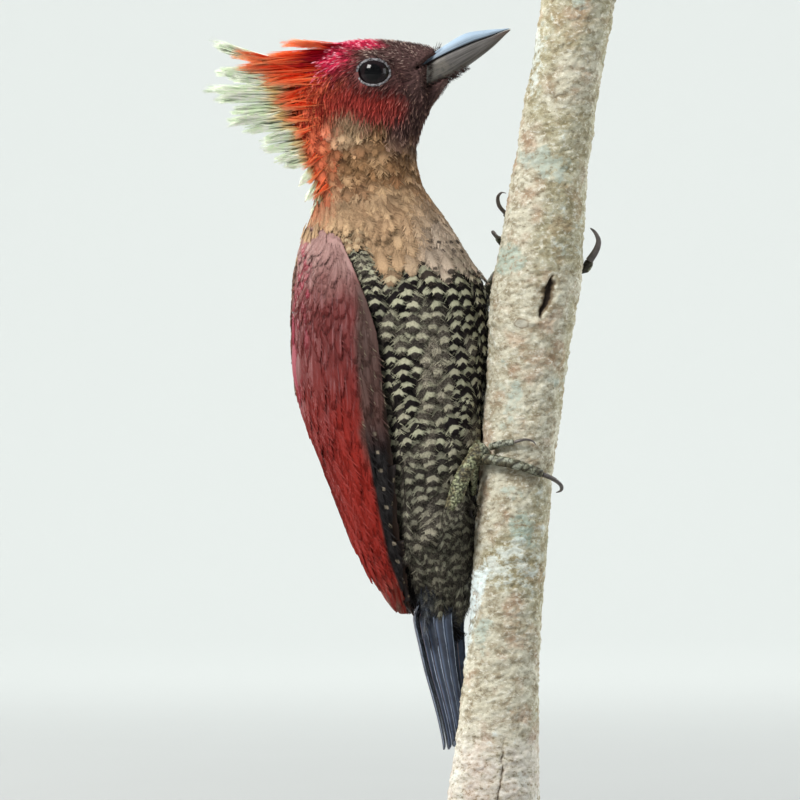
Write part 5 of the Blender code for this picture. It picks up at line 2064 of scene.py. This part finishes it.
@dataclass
class Eye:
    """An eyeball and the bare, beaded ring of skin round it."""

    label: str
    side: float
    stance: Stance
    radius: float = 5.4 * MM
    ring_long: float = LID_LONG * MM
    ring_tall: float = LID_TALL * MM
    beads: int = 44
    bead_steps: int = 6
    lid_around: int = 12

    def build(self) -> None:
        """Make the ball and its ring."""
        self.centre = centre_of(f"eye_{self.label}")
        self.ahead, right = self.stance.head_axes()
        self.aside = right * self.side
        shape = bmesh.new()
        bmesh.ops.create_uvsphere(shape, u_segments=64, v_segments=40, radius=self.radius)
        mesh = mesh_of(shape, "eye")
        turned = self.aside.to_track_quat("Z", "Y").to_matrix().to_4x4()
        put_vectors(mesh, "ball", [tuple(vertex.co / self.radius) for vertex in mesh.vertices])
        mesh.transform(Matrix.Translation(self.centre) @ turned)
        for vertex in mesh.vertices:
            gap = vertex.co - self.centre
            if hypot(gap.dot(self.ahead) / self.ring_long, gap.z / self.ring_tall) > 1.0:
                vertex.co = self.centre + gap * 0.93
        mesh.shade_smooth()
        piece(mesh, f"eyeball_{self.label}", self.finish(), (f"eye_{self.label}",))
        piece(self._lids(), f"eyelids_{self.label}", self.lid_finish())

    def _lids(self) -> Mesh:
        """The swollen, beaded lids that lie on the ball."""
        rings = []
        draw = random.Random(9)
        sizes = [draw.uniform(0.3, 1.0) for _ in range(self.beads)]
        steps = self.beads * self.bead_steps
        for step in range(steps):
            angle = tau * step / steps
            bead = sin(pi * (step % self.bead_steps + 0.5) / self.bead_steps) * sizes[step // self.bead_steps]
            rim_x, rim_z = self.ring_long * cos(angle), self.ring_tall * sin(angle)
            flat = hypot(rim_x, rim_z)
            out = sqrt(max(self.radius**2 - min(flat, 0.97 * self.radius) ** 2, 0.0))
            middle = self.centre + self.ahead * rim_x + Vector((0.0, 0.0, rim_z))
            middle += self.aside * (out + 0.06 * MM)
            away = (self.ahead * cos(angle) + Vector((0.0, 0.0, sin(angle)))).normalized()
            ring = []
            for corner in range(self.lid_around):
                turn = tau * corner / self.lid_around
                outer = max(cos(turn), 0.0)
                thick = (0.27 + 0.2 * bead * (0.4 + outer)) * MM
                ring.append(middle + away * thick * 1.3 * cos(turn) + self.aside * thick * 0.8 * sin(turn))
            rings.append(ring)
        rings.append(rings[0])
        mesh = loft(rings, "lids", closed=False)
        shape = bmesh.new()
        shape.from_mesh(mesh)
        bmesh.ops.remove_doubles(shape, verts=shape.verts, dist=0.001 * MM)
        bmesh.ops.recalc_face_normals(shape, faces=shape.faces)
        shape.to_mesh(mesh)
        shape.free()
        return mesh

    @staticmethod
    def finish() -> Material:
        """A dark brown iris round a black pupil, under a wet cornea."""
        paint = Paint("eye")
        x, y, _ = paint.parts("ball")
        reach = span(x, y)
        iris = paint.noise(paint.attribute("ball"), 9.0, 4.0)
        brown = paint.mix(iris, (12, 8, 12), (30, 17, 19))
        paint.colour = paint.mix(reach.step(0.44, 0.50), (2, 2, 4), brown)
        paint.over(reach.step(0.66, 0.74), (6, 5, 7))
        return paint.finish(0.06, 0.22)

    @staticmethod
    def lid_finish() -> Material:
        """Grey bare skin."""
        paint = Paint("lid_skin")
        grain = paint.grain(1500.0, 3.0)
        paint.colour = paint.mix(grain.step(0.38, 0.62), (44, 40, 43), (132, 130, 134))
        return paint.finish(0.55, normal=paint.bump(grain, 0.4, 0.0002))


class Toe(NamedTuple):
    """A toe and its claw, as places round the stem: degrees, height and lift."""

    name: str
    path: tuple[tuple[float, float, float], ...]
    radius: float
    claw: tuple[tuple[float, float, float], ...]
    claw_radius: float


class Foot(NamedTuple):
    """A leg: the scaly shank and the toes."""

    label: str
    shank: tuple[tuple[float, float, float], ...]
    shank_radii: tuple[float, ...]
    toes: tuple[Toe, ...]


RIGHT_FOOT = Foot(
    "right",
    ((5.9, -9.3, 139.2), (7.6, -10.4, 146.0), (10.0, -10.4, 152.5), (13.6, -8.6, 158.8)),
    (2.3, 2.4, 2.4, 2.1),
    (
        Toe("front_middle", ((227, 160.9, 1.7), (244, 162.0, 1.4), (261, 162.4, 1.3)), 1.15,
            ((264, 162.6, 1.5), (275, 163.2, 1.7), (286, 162.8, 1.2), (293, 161.6, 0.7)), 0.75),
        Toe("outer", ((221, 157.4, 2.3), (242, 156.9, 2.1), (266, 155.8, 2.0), (288, 154.2, 1.9),
                      (303, 153.0, 1.8)), 1.7,
            ((307, 152.6, 1.7), (321, 151.3, 2.9), (334, 149.6, 3.5), (344, 148.0, 2.9),
             (350, 147.2, 1.1)), 1.05),
        Toe("front_inner", ((197, 161.5, 1.9), (181, 164.5, 1.7), (165, 167.0, 1.6)), 1.3,
            ((161, 167.6, 1.6), (151, 168.8, 2.2), (142, 169.0, 1.7), (136, 168.4, 0.7)), 0.8),
        Toe("hallux", ((199, 155.6, 1.9), (189, 150.5, 1.5), (180, 146.5, 1.3)), 1.1,
            ((178, 145.6, 1.3), (174, 142.8, 1.9), (171, 140.6, 1.5), (170, 139.2, 0.7)), 0.7),
    ),
)
LEFT_FOOT = Foot(
    "left",
    ((14.4, 26.0, 203.2), (19.0, 23.0, 209.5), (24.0, 18.6, 216.5), (27.3, 16.4, 221.0)),
    (2.3, 2.4, 2.4, 2.2),
    (
        Toe("outer", ((101, 219.0, 2.7), (76, 216.4, 2.3), (48, 214.6, 2.2), (24, 214.6, 2.1),
                      (8, 216.4, 2.0)), 1.7,
            ((4, 217.6, 2.1), (2, 220.0, 3.7), (0, 222.8, 4.2), (358, 225.2, 3.0),
             (357, 226.6, 1.4)), 1.2),
        Toe("front_middle", ((118, 226.0, 1.9), (132, 229.0, 1.7), (147, 231.0, 1.5)), 1.3,
            ((152, 231.6, 1.6), (163, 233.4, 2.5), (172, 235.8, 2.9), (179, 237.2, 2.0),
             (186, 237.0, 0.6)), 0.8),
        Toe("front_inner", ((125, 221.0, 2.0), (142, 222.2, 1.6), (157, 223.6, 1.4)), 1.2,
            ((161, 224.0, 1.5), (170, 225.2, 2.3), (177, 225.6, 2.2), (183, 224.4, 0.8)), 0.75),
        Toe("hallux", ((106, 214.8, 1.9), (102, 209.8, 1.5), (100, 205.6, 1.3)), 1.1,
            ((99, 204.6, 1.3), (98, 201.8, 1.9), (97, 199.4, 1.5), (97, 198.0, 0.7)), 0.7),
    ),
)


@dataclass
class Perch:
    """The stem, with lumpy bark, a knot ring and an old scar."""

    bottom: float = 47.0
    top: float = 303.0
    lean: tuple[float, ...] = (15.4, 2.6, 9.6)
    foot_x: float = 18.6
    radius: float = 11.2
    swellings: tuple[tuple[float, float, float], ...] = ((207.0, 2.2, 30.0), (50.0, 3.0, 28.0))
    rings: int = 560
    around: int = 168
    grooves: tuple[tuple[tuple[float, float, float], ...], ...] = (
        ((291.0, 211.5, 0.4), (287.0, 207.5, 1.9), (283.5, 203.0, 1.2), (279.5, 199.5, 0.35)),
        ((277.0, 76.0, 0.2), (278.0, 68.0, 0.34), (276.0, 50.0, 0.4)),
    )

    def axis(self, height: float) -> Vector:
        """The stem's centre at a height, in millimetres."""
        share = (height - self.bottom) / (self.top - self.bottom)
        lean = sum(reach * share ** (power + 1) for power, reach in enumerate(self.lean))
        return Vector((self.foot_x + lean, 0.0, height))

    def girth(self, height: float) -> float:
        """The stem's radius at a height."""
        rises = (rise * exp(-(((height - at) / spread) ** 2)) for at, rise, spread in self.swellings)
        return self.radius + sum(rises)

    def over(self, degrees: float, height: float, lift: float) -> Vector:
        """A point over the bark, in millimetres."""
        angle = radians(degrees)
        return self.axis(height) + Vector((cos(angle), sin(angle), 0.0)) * (self.girth(height) + lift)

    def build(self) -> None:
        """Make the bark and dress it."""
        low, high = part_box("perch")
        bottom, top = low.z / MM, high.z / MM
        rings = []
        vanes = []
        for row in range(self.rings + 1):
            height = blend(bottom, top, row / self.rings)
            ring = []
            for column in range(self.around):
                degrees = 360.0 * column / self.around
                relief, groove = self._relief(degrees, height)
                edge = 0.5 * smooth_step(1.2, 0.0, min(height - bottom, top - height))
                ring.append(self.over(degrees, height, relief - edge) * MM)
                vanes.append((degrees / 360.0, height, groove))
            rings.append(ring)
        mesh = loft(rings, "perch")
        put_vectors(mesh, "vane", vanes)
        piece(mesh, "perch_bark", self.finish(), ("perch",))

    def _relief(self, degrees: float, height: float) -> tuple[float, float]:
        """How far the bark stands from the plain stem, and how deep in a groove it is."""
        angle = radians(degrees)
        spot = Vector((cos(angle) * 11.0, sin(angle) * 11.0, height))
        broad = noise.noise(spot * 0.06) * 0.6 + noise.noise(spot * 0.17) * 0.35
        flat = Vector((spot.x, spot.y, spot.z * 1.7))
        lumps = noise.fractal(flat * 0.26, 0.7, 2.1, 5) * 0.42
        cracks = 1.0 - min(abs(noise.noise(flat * 0.4 + Vector((9.0, 3.0, 1.0)))) * 5.0, 1.0)
        relief = -0.30 + broad + lumps - 0.34 * cracks * cracks
        bud = exp(-(((height - 198.0 - 1.0 * noise.noise(spot * 0.2)) / 1.1) ** 2))
        relief += bud * (0.15 + 0.8 * abs(noise.noise(spot * 0.5)))
        groove = 0.0
        for line in self.grooves:
            for (start, upper, wide), (end, lower, narrow) in zip(line, line[1:]):
                share = min(max((upper - height) / (upper - lower), 0.0), 1.0)
                wander = 1.1 * noise.noise(spot * 0.5)
                aside = (degrees - blend(start, end, share)) * pi / 180.0 * 13.0 + wander
                along = max(height - upper, lower - height, 0.0)
                reach = blend(wide, narrow, share) * (1.0 + 0.4 * noise.noise(spot * 0.9))
                depth = exp(-((aside / reach) ** 2) - (along / 1.2) ** 2)
                groove = max(groove, depth * min(reach / 0.8, 1.0))
        relief -= 1.9 * groove * (0.8 + 0.4 * lumps)
        return min(relief, 0.6), groove

    @staticmethod
    def finish() -> Material:
        """Pinkish beige bark in fine crossways wrinkles, with lichen patches and a pale side."""
        paint = Paint("bark")
        place = paint.place()
        x, y, z = paint.split(place)
        _, height, groove = paint.parts("vane")
        flat = paint.join(x, y, z * 1.5)
        broad = paint.noise(place, 45.0, 3.0)
        lumps = paint.noise(flat, 230.0, 6.0, 0.7)
        wrinkles = paint.noise(flat, 560.0, 5.0, 0.72)
        rust = paint.noise(paint.vector("ADD", place, (0.1, 0.6, 0.3)), 120.0, 4.0)
        paint.colour = paint.mix(lumps.step(0.34, 0.62), (142, 131, 108), (198, 194, 175))
        paint.over(rust.step(0.5, 0.7) * 0.45, (170, 132, 108))
        olive = (broad + (x - 0.02) * 6.0).step(0.52, 0.66)
        paint.over(olive * 0.35, (134, 128, 84))
        # the wrinkles' sunk parts are darker and their raised parts paler: partly the bark's own tone, partly
        # painted shade in the creases and painted highlight on the ridges
        paint.over(wrinkles.step(0.45, 0.35) * 0.5, (84, 71, 55))
        paint.over(wrinkles.step(0.53, 0.64) * 0.6, (226, 224, 212))
        patches = paint.noise(paint.vector("ADD", place, (0.3, 0.1, 0.2)), 70.0, 4.0, 0.6).step(0.61, 0.68)
        paint.over(patches * wrinkles.step(0.3, 0.55) * 0.6, (168, 184, 176))
        foot = (z + broad * 0.02).step(0.095, 0.075)
        paint.over(foot * wrinkles.step(0.35, 0.55) * 0.55, (214, 208, 202))
        for across, tall, wide, high in ((23.5, 217.0, 4.5, 4.5), (27.5, 137.0, 3.6, 5.2)):
            gap = span((x * PER_METRE - across) / wide, (z * PER_METRE - tall) / high) + (lumps - 0.5) * 1.6
            near = gap.step(1.2, 0.8) * y.step(0.0, -0.004)
            paint.over(near * wrinkles.step(0.38, 0.55) * 0.6, (158, 180, 170))
        line = x * PER_METRE - height.step(60.0, 150.0) * 14.0
        white = line.step(9.8, 3.6) * height.step(136.0, 118.0) * height.step(82.0, 100.0)
        white = (white + (broad - 0.5) * 1.4 + (lumps - 0.5) * 1.4).step(0.6, 0.9) * 0.95
        speck = (broad + lumps).step(1.12, 1.25) * 0.5
        paint.over(white.most(speck) * wrinkles.step(0.3, 0.52), (218, 230, 230))
        knot = span((x * PER_METRE - 27.3) / 1.9, (z * PER_METRE - 197.8) / 1.1)
        knot = knot + (lumps - 0.5) * 1.6 + (wrinkles - 0.5)
        near = y.step(0.0, -0.004)
        paint.over(knot.step(1.05, 0.85) * near * 0.6, (176, 172, 160))
        paint.over((knot - 1.2).size().step(0.35, 0.05) * near * 0.5, (98, 82, 64))
        # darker in the scar's groove: partly the scar's own dark wood, partly painted shade in its hollow
        paint.over(groove.step(0.08, 0.4) * 0.8, (92, 74, 52))
        paint.over((groove + (lumps - 0.5) * 0.6).step(0.4, 0.75), (36, 28, 23))
        return paint.finish(0.92, 0.15, paint.bump(lumps * 0.7 + wrinkles * 0.5, 0.8, 0.0008))


@dataclass
class Legs:
    """The scaly shanks and toes with their claws."""

    perch: Perch
    around: int = 28
    shank_rings: int = 84
    claw_rings: int = 36
    scute: float = 1.9
    scute_rings: int = 9
    knuckle: tuple[float, float, float] = (3.3, 3.0, 3.5)

    def build(self) -> None:
        """Make both legs."""
        scales, horn = self.scale_finish(), self.claw_finish()
        for foot in (RIGHT_FOOT, LEFT_FOOT):
            shank = [Vector(point) for point in foot.shank]
            mesh = self._limb(shank, foot.shank_radii, self.shank_rings, self._grains)
            self._add_knuckle(mesh, foot)
            piece(mesh, f"shank_scales_{foot.label}", scales, (f"shank_{foot.label}",))
            for toe in foot.toes:
                self._toe(foot, toe, scales, horn)

    def _add_knuckle(self, mesh: Mesh, foot: Foot) -> None:
        """Join a granular ball to a shank, where its toes meet."""
        shape = bmesh.new()
        shape.from_mesh(mesh)
        layer = shape.verts.layers.float_vector["vane"]
        made = bmesh.ops.create_uvsphere(shape, u_segments=40, v_segments=26, radius=1.0)
        nearest = [self.perch.over(*toe.path[0]) for toe in foot.toes]
        middle = 0.5 * (Vector(foot.shank[-1]) + sum(nearest, Vector()) / len(nearest))
        for vertex in made["verts"]:
            spot = middle + Vector([part * reach for part, reach in zip(vertex.co, self.knuckle)])
            rise, dark = self._grains(0.0, 0.0, spot)
            vertex.co = (middle + (spot - middle) * (0.97 + rise)) * MM
            vertex[layer] = (1.0, 0.0, dark)
        for face in shape.faces:
            face.smooth = True
        shape.to_mesh(mesh)
        shape.free()

    def _toe(self, foot: Foot, toe: Toe, scales: Material, horn: Material) -> None:
        """A toe with its row of scutes, and its claw."""
        path = [self.perch.over(*place) for place in toe.path]
        last = len(path) - 1
        radii = [toe.radius * blend(1.04, 0.84, index / last) for index in range(last + 1)]
        length = sum((after - before).length for before, after in zip(path, path[1:]))
        scutes = max(round(length / self.scute), 3)
        name = f"{foot.label}_{toe.name}"
        rings = scutes * self.scute_rings
        mesh = self._limb(path, radii, rings, lambda *place: self._scutes(scutes, *place))
        piece(mesh, f"toe_scales_{name}", scales, (f"toe_{name}",))
        claw = [self.perch.over(*place) for place in toe.claw]
        claw[0] = claw[0].lerp(path[-1], 0.6)
        piece(self._claw(claw, toe.claw_radius), f"claw_horn_{name}", horn, (f"claw_{name}",))

    def _frames(self, path: Sequence[Vector], count: int) -> list[tuple[Vector, Vector, Vector, float]]:
        """Points along a path with the way off the stem and the way across."""
        made = []
        for step in range(count + 1):
            share = step / count
            here = spline_point(path, share)
            after = spline_point(path, min(share + 0.02, 1.0))
            ahead = (after - spline_point(path, max(share - 0.02, 0.0))).normalized()
            off = here - self.perch.axis(here.z)
            off = (off - ahead * off.dot(ahead)).normalized()
            made.append((here, off, ahead.cross(off), share))
        return made

    @staticmethod
    def _grains(share: float, angle: float, spot: Vector) -> tuple[float, float]:
        """The rise and the darkness of small round scales."""
        near, _ = noise.voronoi(spot * 0.95, distance_metric="DISTANCE")
        crease = smooth_step(0.30, 0.02, near[1] - near[0])
        return 0.05 - 0.16 * crease - 0.05 * near[0], crease

    @staticmethod
    def _scutes(scutes: int, share: float, angle: float, spot: Vector) -> tuple[float, float]:
        """The rise and the darkness of wide plates on top and small scales elsewhere."""
        top = smooth_step(0.1, 0.5, cos(angle))
        place = (share * scutes + 0.35 * sin(angle) + 0.2 * sin(share * 31.0)) % 1.0
        bulge = sin(pi * min(place * 1.04, 1.0)) ** 0.45
        size = 0.5 + 0.5 * sin(7.0 * floor(share * scutes))
        near, _ = noise.voronoi(spot * 1.3, distance_metric="DISTANCE")
        crease = smooth_step(0.28, 0.02, near[1] - near[0])
        rise = blend(-0.03 - 0.10 * crease, -0.10 + 0.12 * bulge + 0.05 * size - 0.05 * crease, top)
        return rise, blend(crease, max(smooth_step(0.8, 0.35, bulge), 0.6 * crease), top)

    def _limb(
        self, path: Sequence[Vector], radii: Sequence[float], count: int,
        relief: Callable[[float, float, Vector], tuple[float, float]],
    ) -> Mesh:
        """A scaly limb, rounded at its ends.

        Args:
            path: Its points, in millimetres.
            radii: Its radii at them.
            count: How many rings it has.
            relief: The rise, as a share of the radius, and the darkness at a place.

        Returns:
            The mesh.
        """
        rings = []
        vanes = []
        for here, off, across, share in self._frames(path, count):
            radius = spline(radii, share * (len(radii) - 1))
            end = sqrt(max(1.0 - max(abs(2.0 * share - 1.0) - 0.9, 0.0) ** 2 / 0.0101, 0.0))
            ring = []
            for corner in range(self.around):
                angle = tau * corner / self.around
                way = off * cos(angle) + across * sin(angle)
                rise, dark = relief(share, angle, here + way * radius)
                ring.append((here + way * radius * (0.97 + rise) * end) * MM)
                vanes.append((cos(angle), share, dark))
            rings.append(ring)
        mesh = loft(rings, "scales")
        put_vectors(mesh, "vane", vanes)
        return mesh

    def _claw(self, path: Sequence[Vector], radius: float) -> Mesh:
        """A curved, flattened claw that ends in a point."""
        rings = []
        for here, off, across, share in self._frames(path, self.claw_rings):
            thick = radius * (0.03 + 0.97 * (1.0 - share) ** 0.62)
            ring = []
            for corner in range(self.around):
                angle = tau * corner / self.around
                groove = 1.0 - 0.12 * exp(-(((sin(angle) ** 2 - 0.9) / 0.15) ** 2))
                flat = across * thick * 0.74 * sin(angle) * groove
                ring.append((here + off * thick * cos(angle) + flat) * MM)
            rings.append(ring)
        return loft(rings, "claw")

    @staticmethod
    def scale_finish() -> Material:
        """Olive skin with pale grey plates on the toes and dark creases."""
        paint = Paint("leg_scales")
        top, _, dark = paint.parts("vane")
        grain = paint.grain(1300.0, 3.0)
        broad = paint.grain(330.0, 2.0)
        x, _, _ = paint.split(paint.place())
        paint.colour = paint.mix(grain.step(0.35, 0.65), (90, 92, 62), (172, 176, 142))
        paint.over(broad.step(0.45, 0.6) * 0.6, (98, 78, 54))
        pale = x.step(0.0125, 0.018) * top.step(0.2, 0.7) * broad.step(0.62, 0.4)
        paint.over(pale * 0.8, (158, 161, 149))
        worn = x.step(0.0125, 0.018) * (broad + grain * 0.4).step(0.66, 0.76)
        paint.over(worn * 0.75, (62, 58, 46))
        paint.over(dark * 0.92, (30, 28, 21))
        # painted shade on the toes' undersides, where they lie against the stem
        paint.over(top.step(0.45, -0.2) * x.step(0.0125, 0.018) * 0.85, (38, 36, 28))
        return paint.finish(0.6, 0.3, paint.bump(grain, 0.5, 0.0003))

    @staticmethod
    def claw_finish() -> Material:
        """Dark grey-brown horn with a sheen."""
        paint = Paint("claw_horn")
        grain = paint.grain(700.0, 3.0)
        paint.colour = paint.mix(grain, (44, 38, 38), (108, 100, 96))
        return paint.finish(0.32, normal=paint.bump(grain, 0.2, 0.0002))


@dataclass
class Stand:
    """The turned wooden base and the steel rod under the stem."""

    base: tuple[tuple[float, float], ...] = (
        (0.0, 0.0), (0.955, 0.0), (0.985, 0.06), (0.998, 0.16), (0.998, 0.34), (0.985, 0.42), (0.955, 0.46),
        (0.945, 0.52), (0.955, 0.60), (0.975, 0.66), (0.978, 0.74), (0.965, 0.86), (0.935, 0.95), (0.90, 1.0),
        (0.0, 1.0),
    )
    rod: tuple[tuple[float, float], ...] = (
        (0.0, 0.0), (0.995, 0.0), (0.995, 0.10), (0.90, 0.12), (0.86, 0.16), (0.86, 1.0), (0.0, 1.0),
    )
    segments: int = 144

    def build(self) -> None:
        """Turn the base and finish the rod."""
        low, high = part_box("stand_base")
        radius, top = 0.5 * (high.x - low.x), high.z
        mesh = self._turned(self.base, radius, top, Vector((0.0, 0.0, 0.0)))
        piece(mesh, "stand_base_wood", self.wood(), ("stand_base",))
        low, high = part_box("stand_rod")
        middle, reach = centre_of("stand_rod"), 0.5 * (high.x - low.x)
        mesh = self._turned(self.rod, reach, high.z - low.z, Vector((middle.x, middle.y, low.z)))
        piece(mesh, "stand_rod_steel", self.steel(), ("stand_rod",))

    def _turned(
        self, profile: Sequence[tuple[float, float]], radius: float, tall: float, foot: Vector
    ) -> Mesh:
        """A turned shape from its profile, which is shares of its radius and height."""
        points = [foot + Vector((share * radius, 0.0, rise * tall)) for share, rise in profile]
        shape = bmesh.new()
        verts = [shape.verts.new(point) for point in points]
        edges = [shape.edges.new(pair) for pair in zip(verts, verts[1:])]
        bmesh.ops.spin(
            shape, geom=verts + edges, cent=foot, axis=(0.0, 0.0, 1.0), angle=tau, steps=self.segments
        )
        bmesh.ops.remove_doubles(shape, verts=shape.verts, dist=0.001 * MM)
        bmesh.ops.recalc_face_normals(shape, faces=shape.faces)
        mesh = mesh_of(shape, "turned")
        mesh.shade_smooth()
        mesh.set_sharp_from_angle(angle=radians(40.0))
        return mesh

    @staticmethod
    def wood() -> Material:
        """Varnished dark wood with grain along X."""
        paint = Paint("stand_wood")
        x, y, z = paint.split(paint.place())
        long = paint.join(x * 6.0, y * 60.0, z * 60.0)
        wander = paint.noise(long, 1.0, 3.0)
        rings = ((y * 260.0 + wander * 9.0) * tau).sine()
        pores = paint.noise(paint.join(x * 60.0, y * 1500.0, z * 1500.0), 1.0, 2.0)
        paint.colour = paint.mix(rings.step(-1.0, 1.0), (70, 42, 26), (112, 70, 42))
        paint.over(pores.step(0.56, 0.7) * 0.6, (40, 24, 16))
        return paint.finish(0.35, normal=paint.bump(pores, 0.15, 0.0003), coat=0.4)

    @staticmethod
    def steel() -> Material:
        """Brushed steel."""
        paint = Paint("stand_steel")
        x, y, z = paint.split(paint.place())
        lines = paint.noise(paint.join(x * 100.0, y * 100.0, z * 9000.0), 1.0, 2.0)
        paint.colour = paint.mix(lines, (150, 152, 156), (196, 198, 202))
        return paint.finish(0.24 + lines * 0.16, metal=1.0)


class Lamp(NamedTuple):
    """A soft light: its place, size and power."""

    name: str
    place: tuple[float, float, float]
    size: float
    power: float
    colour: tuple[float, float, float]


@dataclass
class Studio:
    """The pale floor that curves up all round, the lights and the camera."""

    aim: tuple[float, float, float] = (-0.009, 0.0, 0.175)
    distance: float = 2.4
    frame_width: float = 0.240
    lamps: tuple[Lamp, ...] = (
        Lamp("key", (-0.85, -1.0, 1.3), 0.6, 37.0, (1.0, 0.98, 0.95)),
        Lamp("fill", (2.0, -0.5, 0.6), 1.0, 11.0, (0.95, 0.98, 1.0)),
        Lamp("rim_left", (-1.3, 0.9, 0.7), 0.8, 27.0, (1.0, 1.0, 0.98)),
        Lamp("rim_right", (1.3, 0.9, 0.5), 0.8, 20.0, (0.98, 1.0, 1.0)),
        Lamp("wall", (0.0, 2.2, 2.6), 1.6, 62.0, (0.97, 1.0, 0.98)),
    )

    def build(self) -> None:
        """Set the stage."""
        self._floor()
        for lamp in self.lamps:
            self._lamp(lamp)
        self._camera()
        self._sky()

    def _floor(self) -> None:
        """A round floor that rises smoothly into a wall far out."""
        reach, bend, tall, count = 3.2, 2.4, 3.0, 96
        runs = [(0.15 * step, 0.0) for step in range(1, 20)]
        for turn in np.linspace(0.05, pi / 2, 24):
            runs.append((reach + bend * sin(turn), bend * (1.0 - cos(turn))))
        runs.append((reach + bend, bend + tall))
        turns = np.linspace(0.0, tau, count + 1)[:-1]
        points = []
        for radius, height in runs:
            points += [(radius * cos(turn), radius * sin(turn), height) for turn in turns]
        faces = [tuple(range(count)), *(face[::-1] for face in ring_faces(len(runs), count))]
        mesh = bpy.data.meshes.new("floor")
        mesh.from_pydata(points, [], faces)
        mesh.shade_smooth()
        paint = Paint("floor")
        x, y, _ = paint.split(paint.place())
        # painted shade: the floor is darker near the middle, where the lamps light it most, and paler out
        # towards the wall
        reach = span(x, y) + (paint.grain(6.0, 2.0) - 0.5) * 0.05
        paint.colour = paint.mix(reach.step(0.4, 2.8), (158, 160, 159), (226, 228, 226))
        mesh.materials.append(paint.finish(0.9))
        holder_of(mesh, "floor")

    def _lamp(self, lamp: Lamp) -> None:
        """Hang one soft light, turned to the bird."""
        light = bpy.data.lights.new(lamp.name, "AREA")
        light.size = lamp.size
        light.energy = lamp.power
        light.color = lamp.colour
        made = bpy.data.objects.new(lamp.name, light)
        bpy.context.scene.collection.objects.link(made)
        made.location = lamp.place
        aim = Vector((0.0, 5.4, 0.9)) if lamp.name == "wall" else Vector(self.aim)
        made.rotation_euler = (aim - Vector(lamp.place)).to_track_quat("-Z", "Y").to_euler()

    def _camera(self) -> None:
        """A long lens level with the bird's middle, looking along +Y."""
        lens = bpy.data.cameras.new("camera")
        lens.sensor_width = 36.0
        lens.lens = lens.sensor_width * self.distance / self.frame_width
        lens.clip_end = 30.0
        made = bpy.data.objects.new("camera", lens)
        bpy.context.scene.collection.objects.link(made)
        made.location = (self.aim[0], -self.distance, self.aim[2])
        made.rotation_euler = (pi / 2, 0.0, 0.0)
        bpy.context.scene.camera = made

    def _sky(self) -> None:
        """An even pale light from all round."""
        world = bpy.data.worlds.new("studio")
        world.use_nodes = True
        shade = world.node_tree.nodes["Background"]
        shade.inputs["Color"].default_value = (0.92, 0.96, 1.0, 1.0)
        shade.inputs["Strength"].default_value = 0.48
        bpy.context.scene.world = world
        bpy.context.scene.view_settings.view_transform = "Standard"


def main() -> None:
    """Build the bird, its perch, its stand and the studio."""
    logging.basicConfig(level=logging.INFO, format="%(message)s")
    stance = Stance()
    perch = Perch()
    skin = Skin(stance)
    skin.build()
    plumes = Plumes()
    plumage = Plumage().build()
    Coat(skin, plumes, Scatter()).build(plumage)
    skin.dress(plumage)
    Crest(skin, plumes).build()
    red, dark = red_wing(), dark_quill()
    overlaid = []
    for side in (1, -1):
        wing = Wing(stance, side, plumes)
        overlaid += wing.scapulars(skin)
        wing.build(red, dark)
    mesh = plumes.lay("scapulars", overlaid, SCALE_LIKE, plumage, (2.0, 9.0), 0.2 * MM)
    piece(mesh, "scapulars", None)
    Tail().build()
    Bill().build()
    for label, side in SIDES:
        Eye(label, side, stance).build()
    Legs(perch).build()
    perch.build()
    Stand().build()
    Studio().build()


if __name__ == "__main__":
    main()
